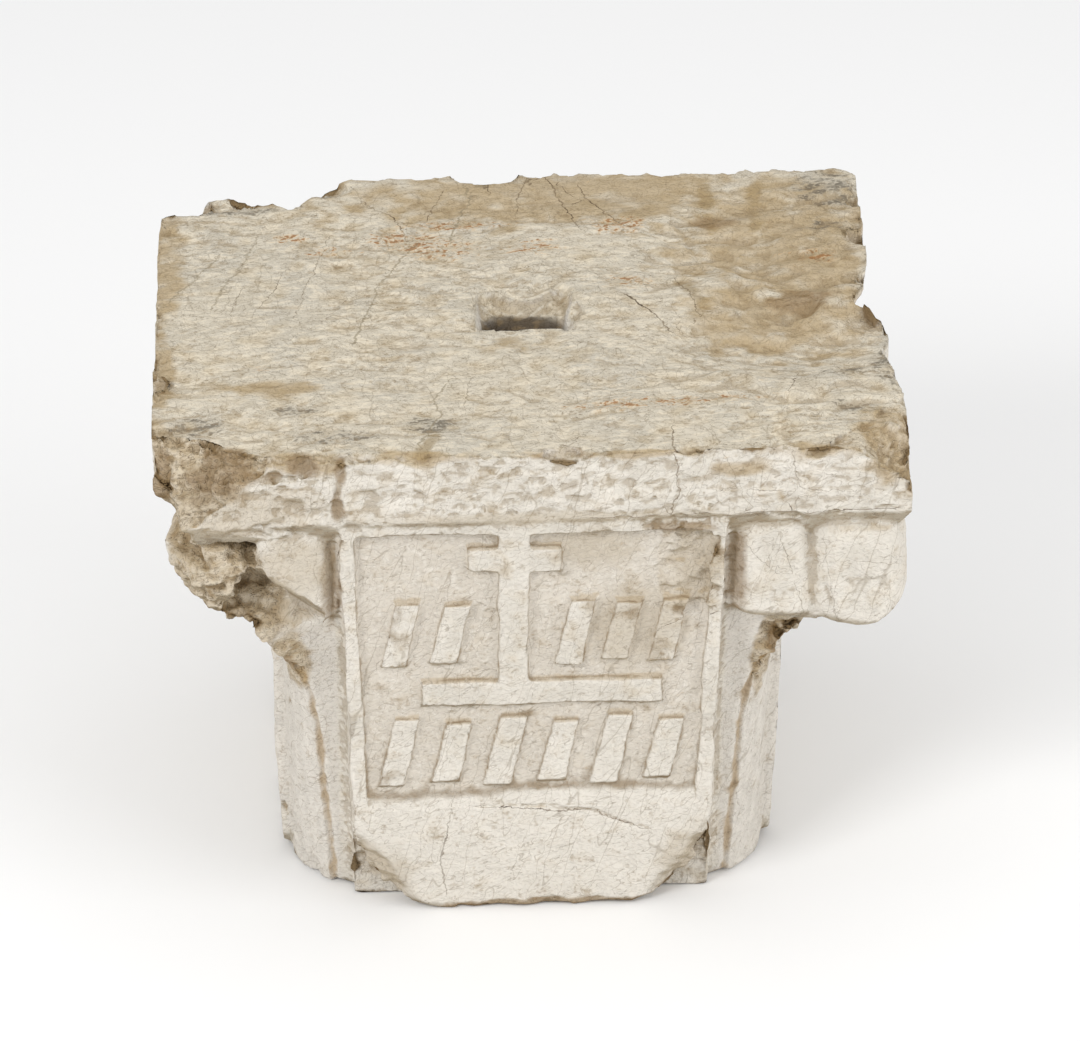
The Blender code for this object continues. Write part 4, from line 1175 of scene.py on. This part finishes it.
# %% Fine relief
HEIGHTS = [
    # height in mm, masks
    (0.32, ["specks"]),
    (-0.32, ["light_specks"]),
    (0.40, ["broken", "specks"]),
]
height = 0.0
for rise, names in HEIGHTS:
    through = rise
    for name in names:
        through = add("Math", {0: mask[name], 1: through}, operation="MULTIPLY").outputs[0]
    height = add("Math", {0: through, 1: height}, operation="ADD").outputs[0]
bump = add("Bump", {"Strength": 1.0, "Distance": 0.001, "Height": height})
tree.links.new(bump.outputs["Normal"], shader.inputs["Normal"])
print(len(HEIGHTS), "kinds of fine relief,", len(tree.nodes), "nodes in all")

# %% [markdown]
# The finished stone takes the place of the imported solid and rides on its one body.

# %% The stone in place of the solid
stone.data.materials.clear()
stone.data.materials.append(limestone)
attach(stone, "root")
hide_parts("capital")
print(stone.name, "is finished in", stone.data.materials[0].name)

# %% [markdown]
# ## Floor, light and camera
# The floor is plain white paper, matt so that it mirrors nothing. It lies half a millimetre
# below the bed, because two faces in one plane would flicker.

# %% Floor
FLOOR_SIZE, FLOOR_DROP = 12.0, 0.0005
bpy.ops.mesh.primitive_plane_add(size=FLOOR_SIZE, location=(0, 0, -FLOOR_DROP))
floor = bpy.context.active_object
floor.name = "studio_floor"
paper = bpy.data.materials.new("White paper")
paper.use_nodes = True
sheet = paper.node_tree.nodes["Principled BSDF"].inputs
sheet["Base Color"].default_value = (0.92, 0.92, 0.92, 1)
sheet["Roughness"].default_value = 0.9
sheet["Specular IOR Level"].default_value = 0.0
floor.data.materials.append(paper)
print("a floor", FLOOR_SIZE, "m wide")

# %% [markdown]
# Three large soft lights show the stone without hard shadows. The strongest comes from the
# front left, and a white world fills the shade.

# %% Lights


def softbox(name, place, size, watts, aim=(0, 0, 0.15)):
    """A square area light that looks at the aim."""
    bpy.ops.object.light_add(type="AREA", location=place)
    lamp = bpy.context.active_object
    lamp.name = name
    lamp.data.size = size
    lamp.data.energy = watts
    lamp.rotation_euler = (Vector(aim) - Vector(place)).to_track_quat("-Z", "Y").to_euler()
    print(name, "gives", watts, "W")


softbox("front_left_softbox", (-1.6, -1.9, 2.0), 0.9, 36)
softbox("front_right_softbox", (2.1, -1.3, 1.3), 1.6, 23)
softbox("overhead_softbox", (0.0, 0.2, 2.4), 1.8, 8)
world = bpy.data.worlds.new("Studio")
bpy.context.scene.world = world
world.use_nodes = True
backdrop = world.node_tree.nodes["Background"].inputs
backdrop["Color"].default_value = (1, 1, 1, 1)
backdrop["Strength"].default_value = 0.68
bpy.context.scene.view_settings.view_transform = "Standard"

# %% [markdown]
# The camera looks down at the stone from the front, from far enough away that its sides
# stay nearly upright.

# %% Camera
ELEVATION = math.radians(30)
TURN = math.radians(2.70)
DISTANCE = 3.198
LENS, SENSOR = 196.5, 36  # mm
AIM = Vector((0.0107, 0.0, 0.1610))
forward = Vector((0, math.cos(ELEVATION), -math.sin(ELEVATION)))
bpy.ops.object.camera_add()
camera = bpy.context.active_object
camera.data.lens = LENS
camera.data.sensor_width = SENSOR
around = Matrix.Rotation(-TURN, 4, "Z")
camera.matrix_world = (around @ Matrix.Translation(AIM - forward * DISTANCE)
                       @ forward.to_track_quat("-Z", "Y").to_matrix().to_4x4())
bpy.context.scene.camera = camera
print("the camera stands", DISTANCE, "m away")
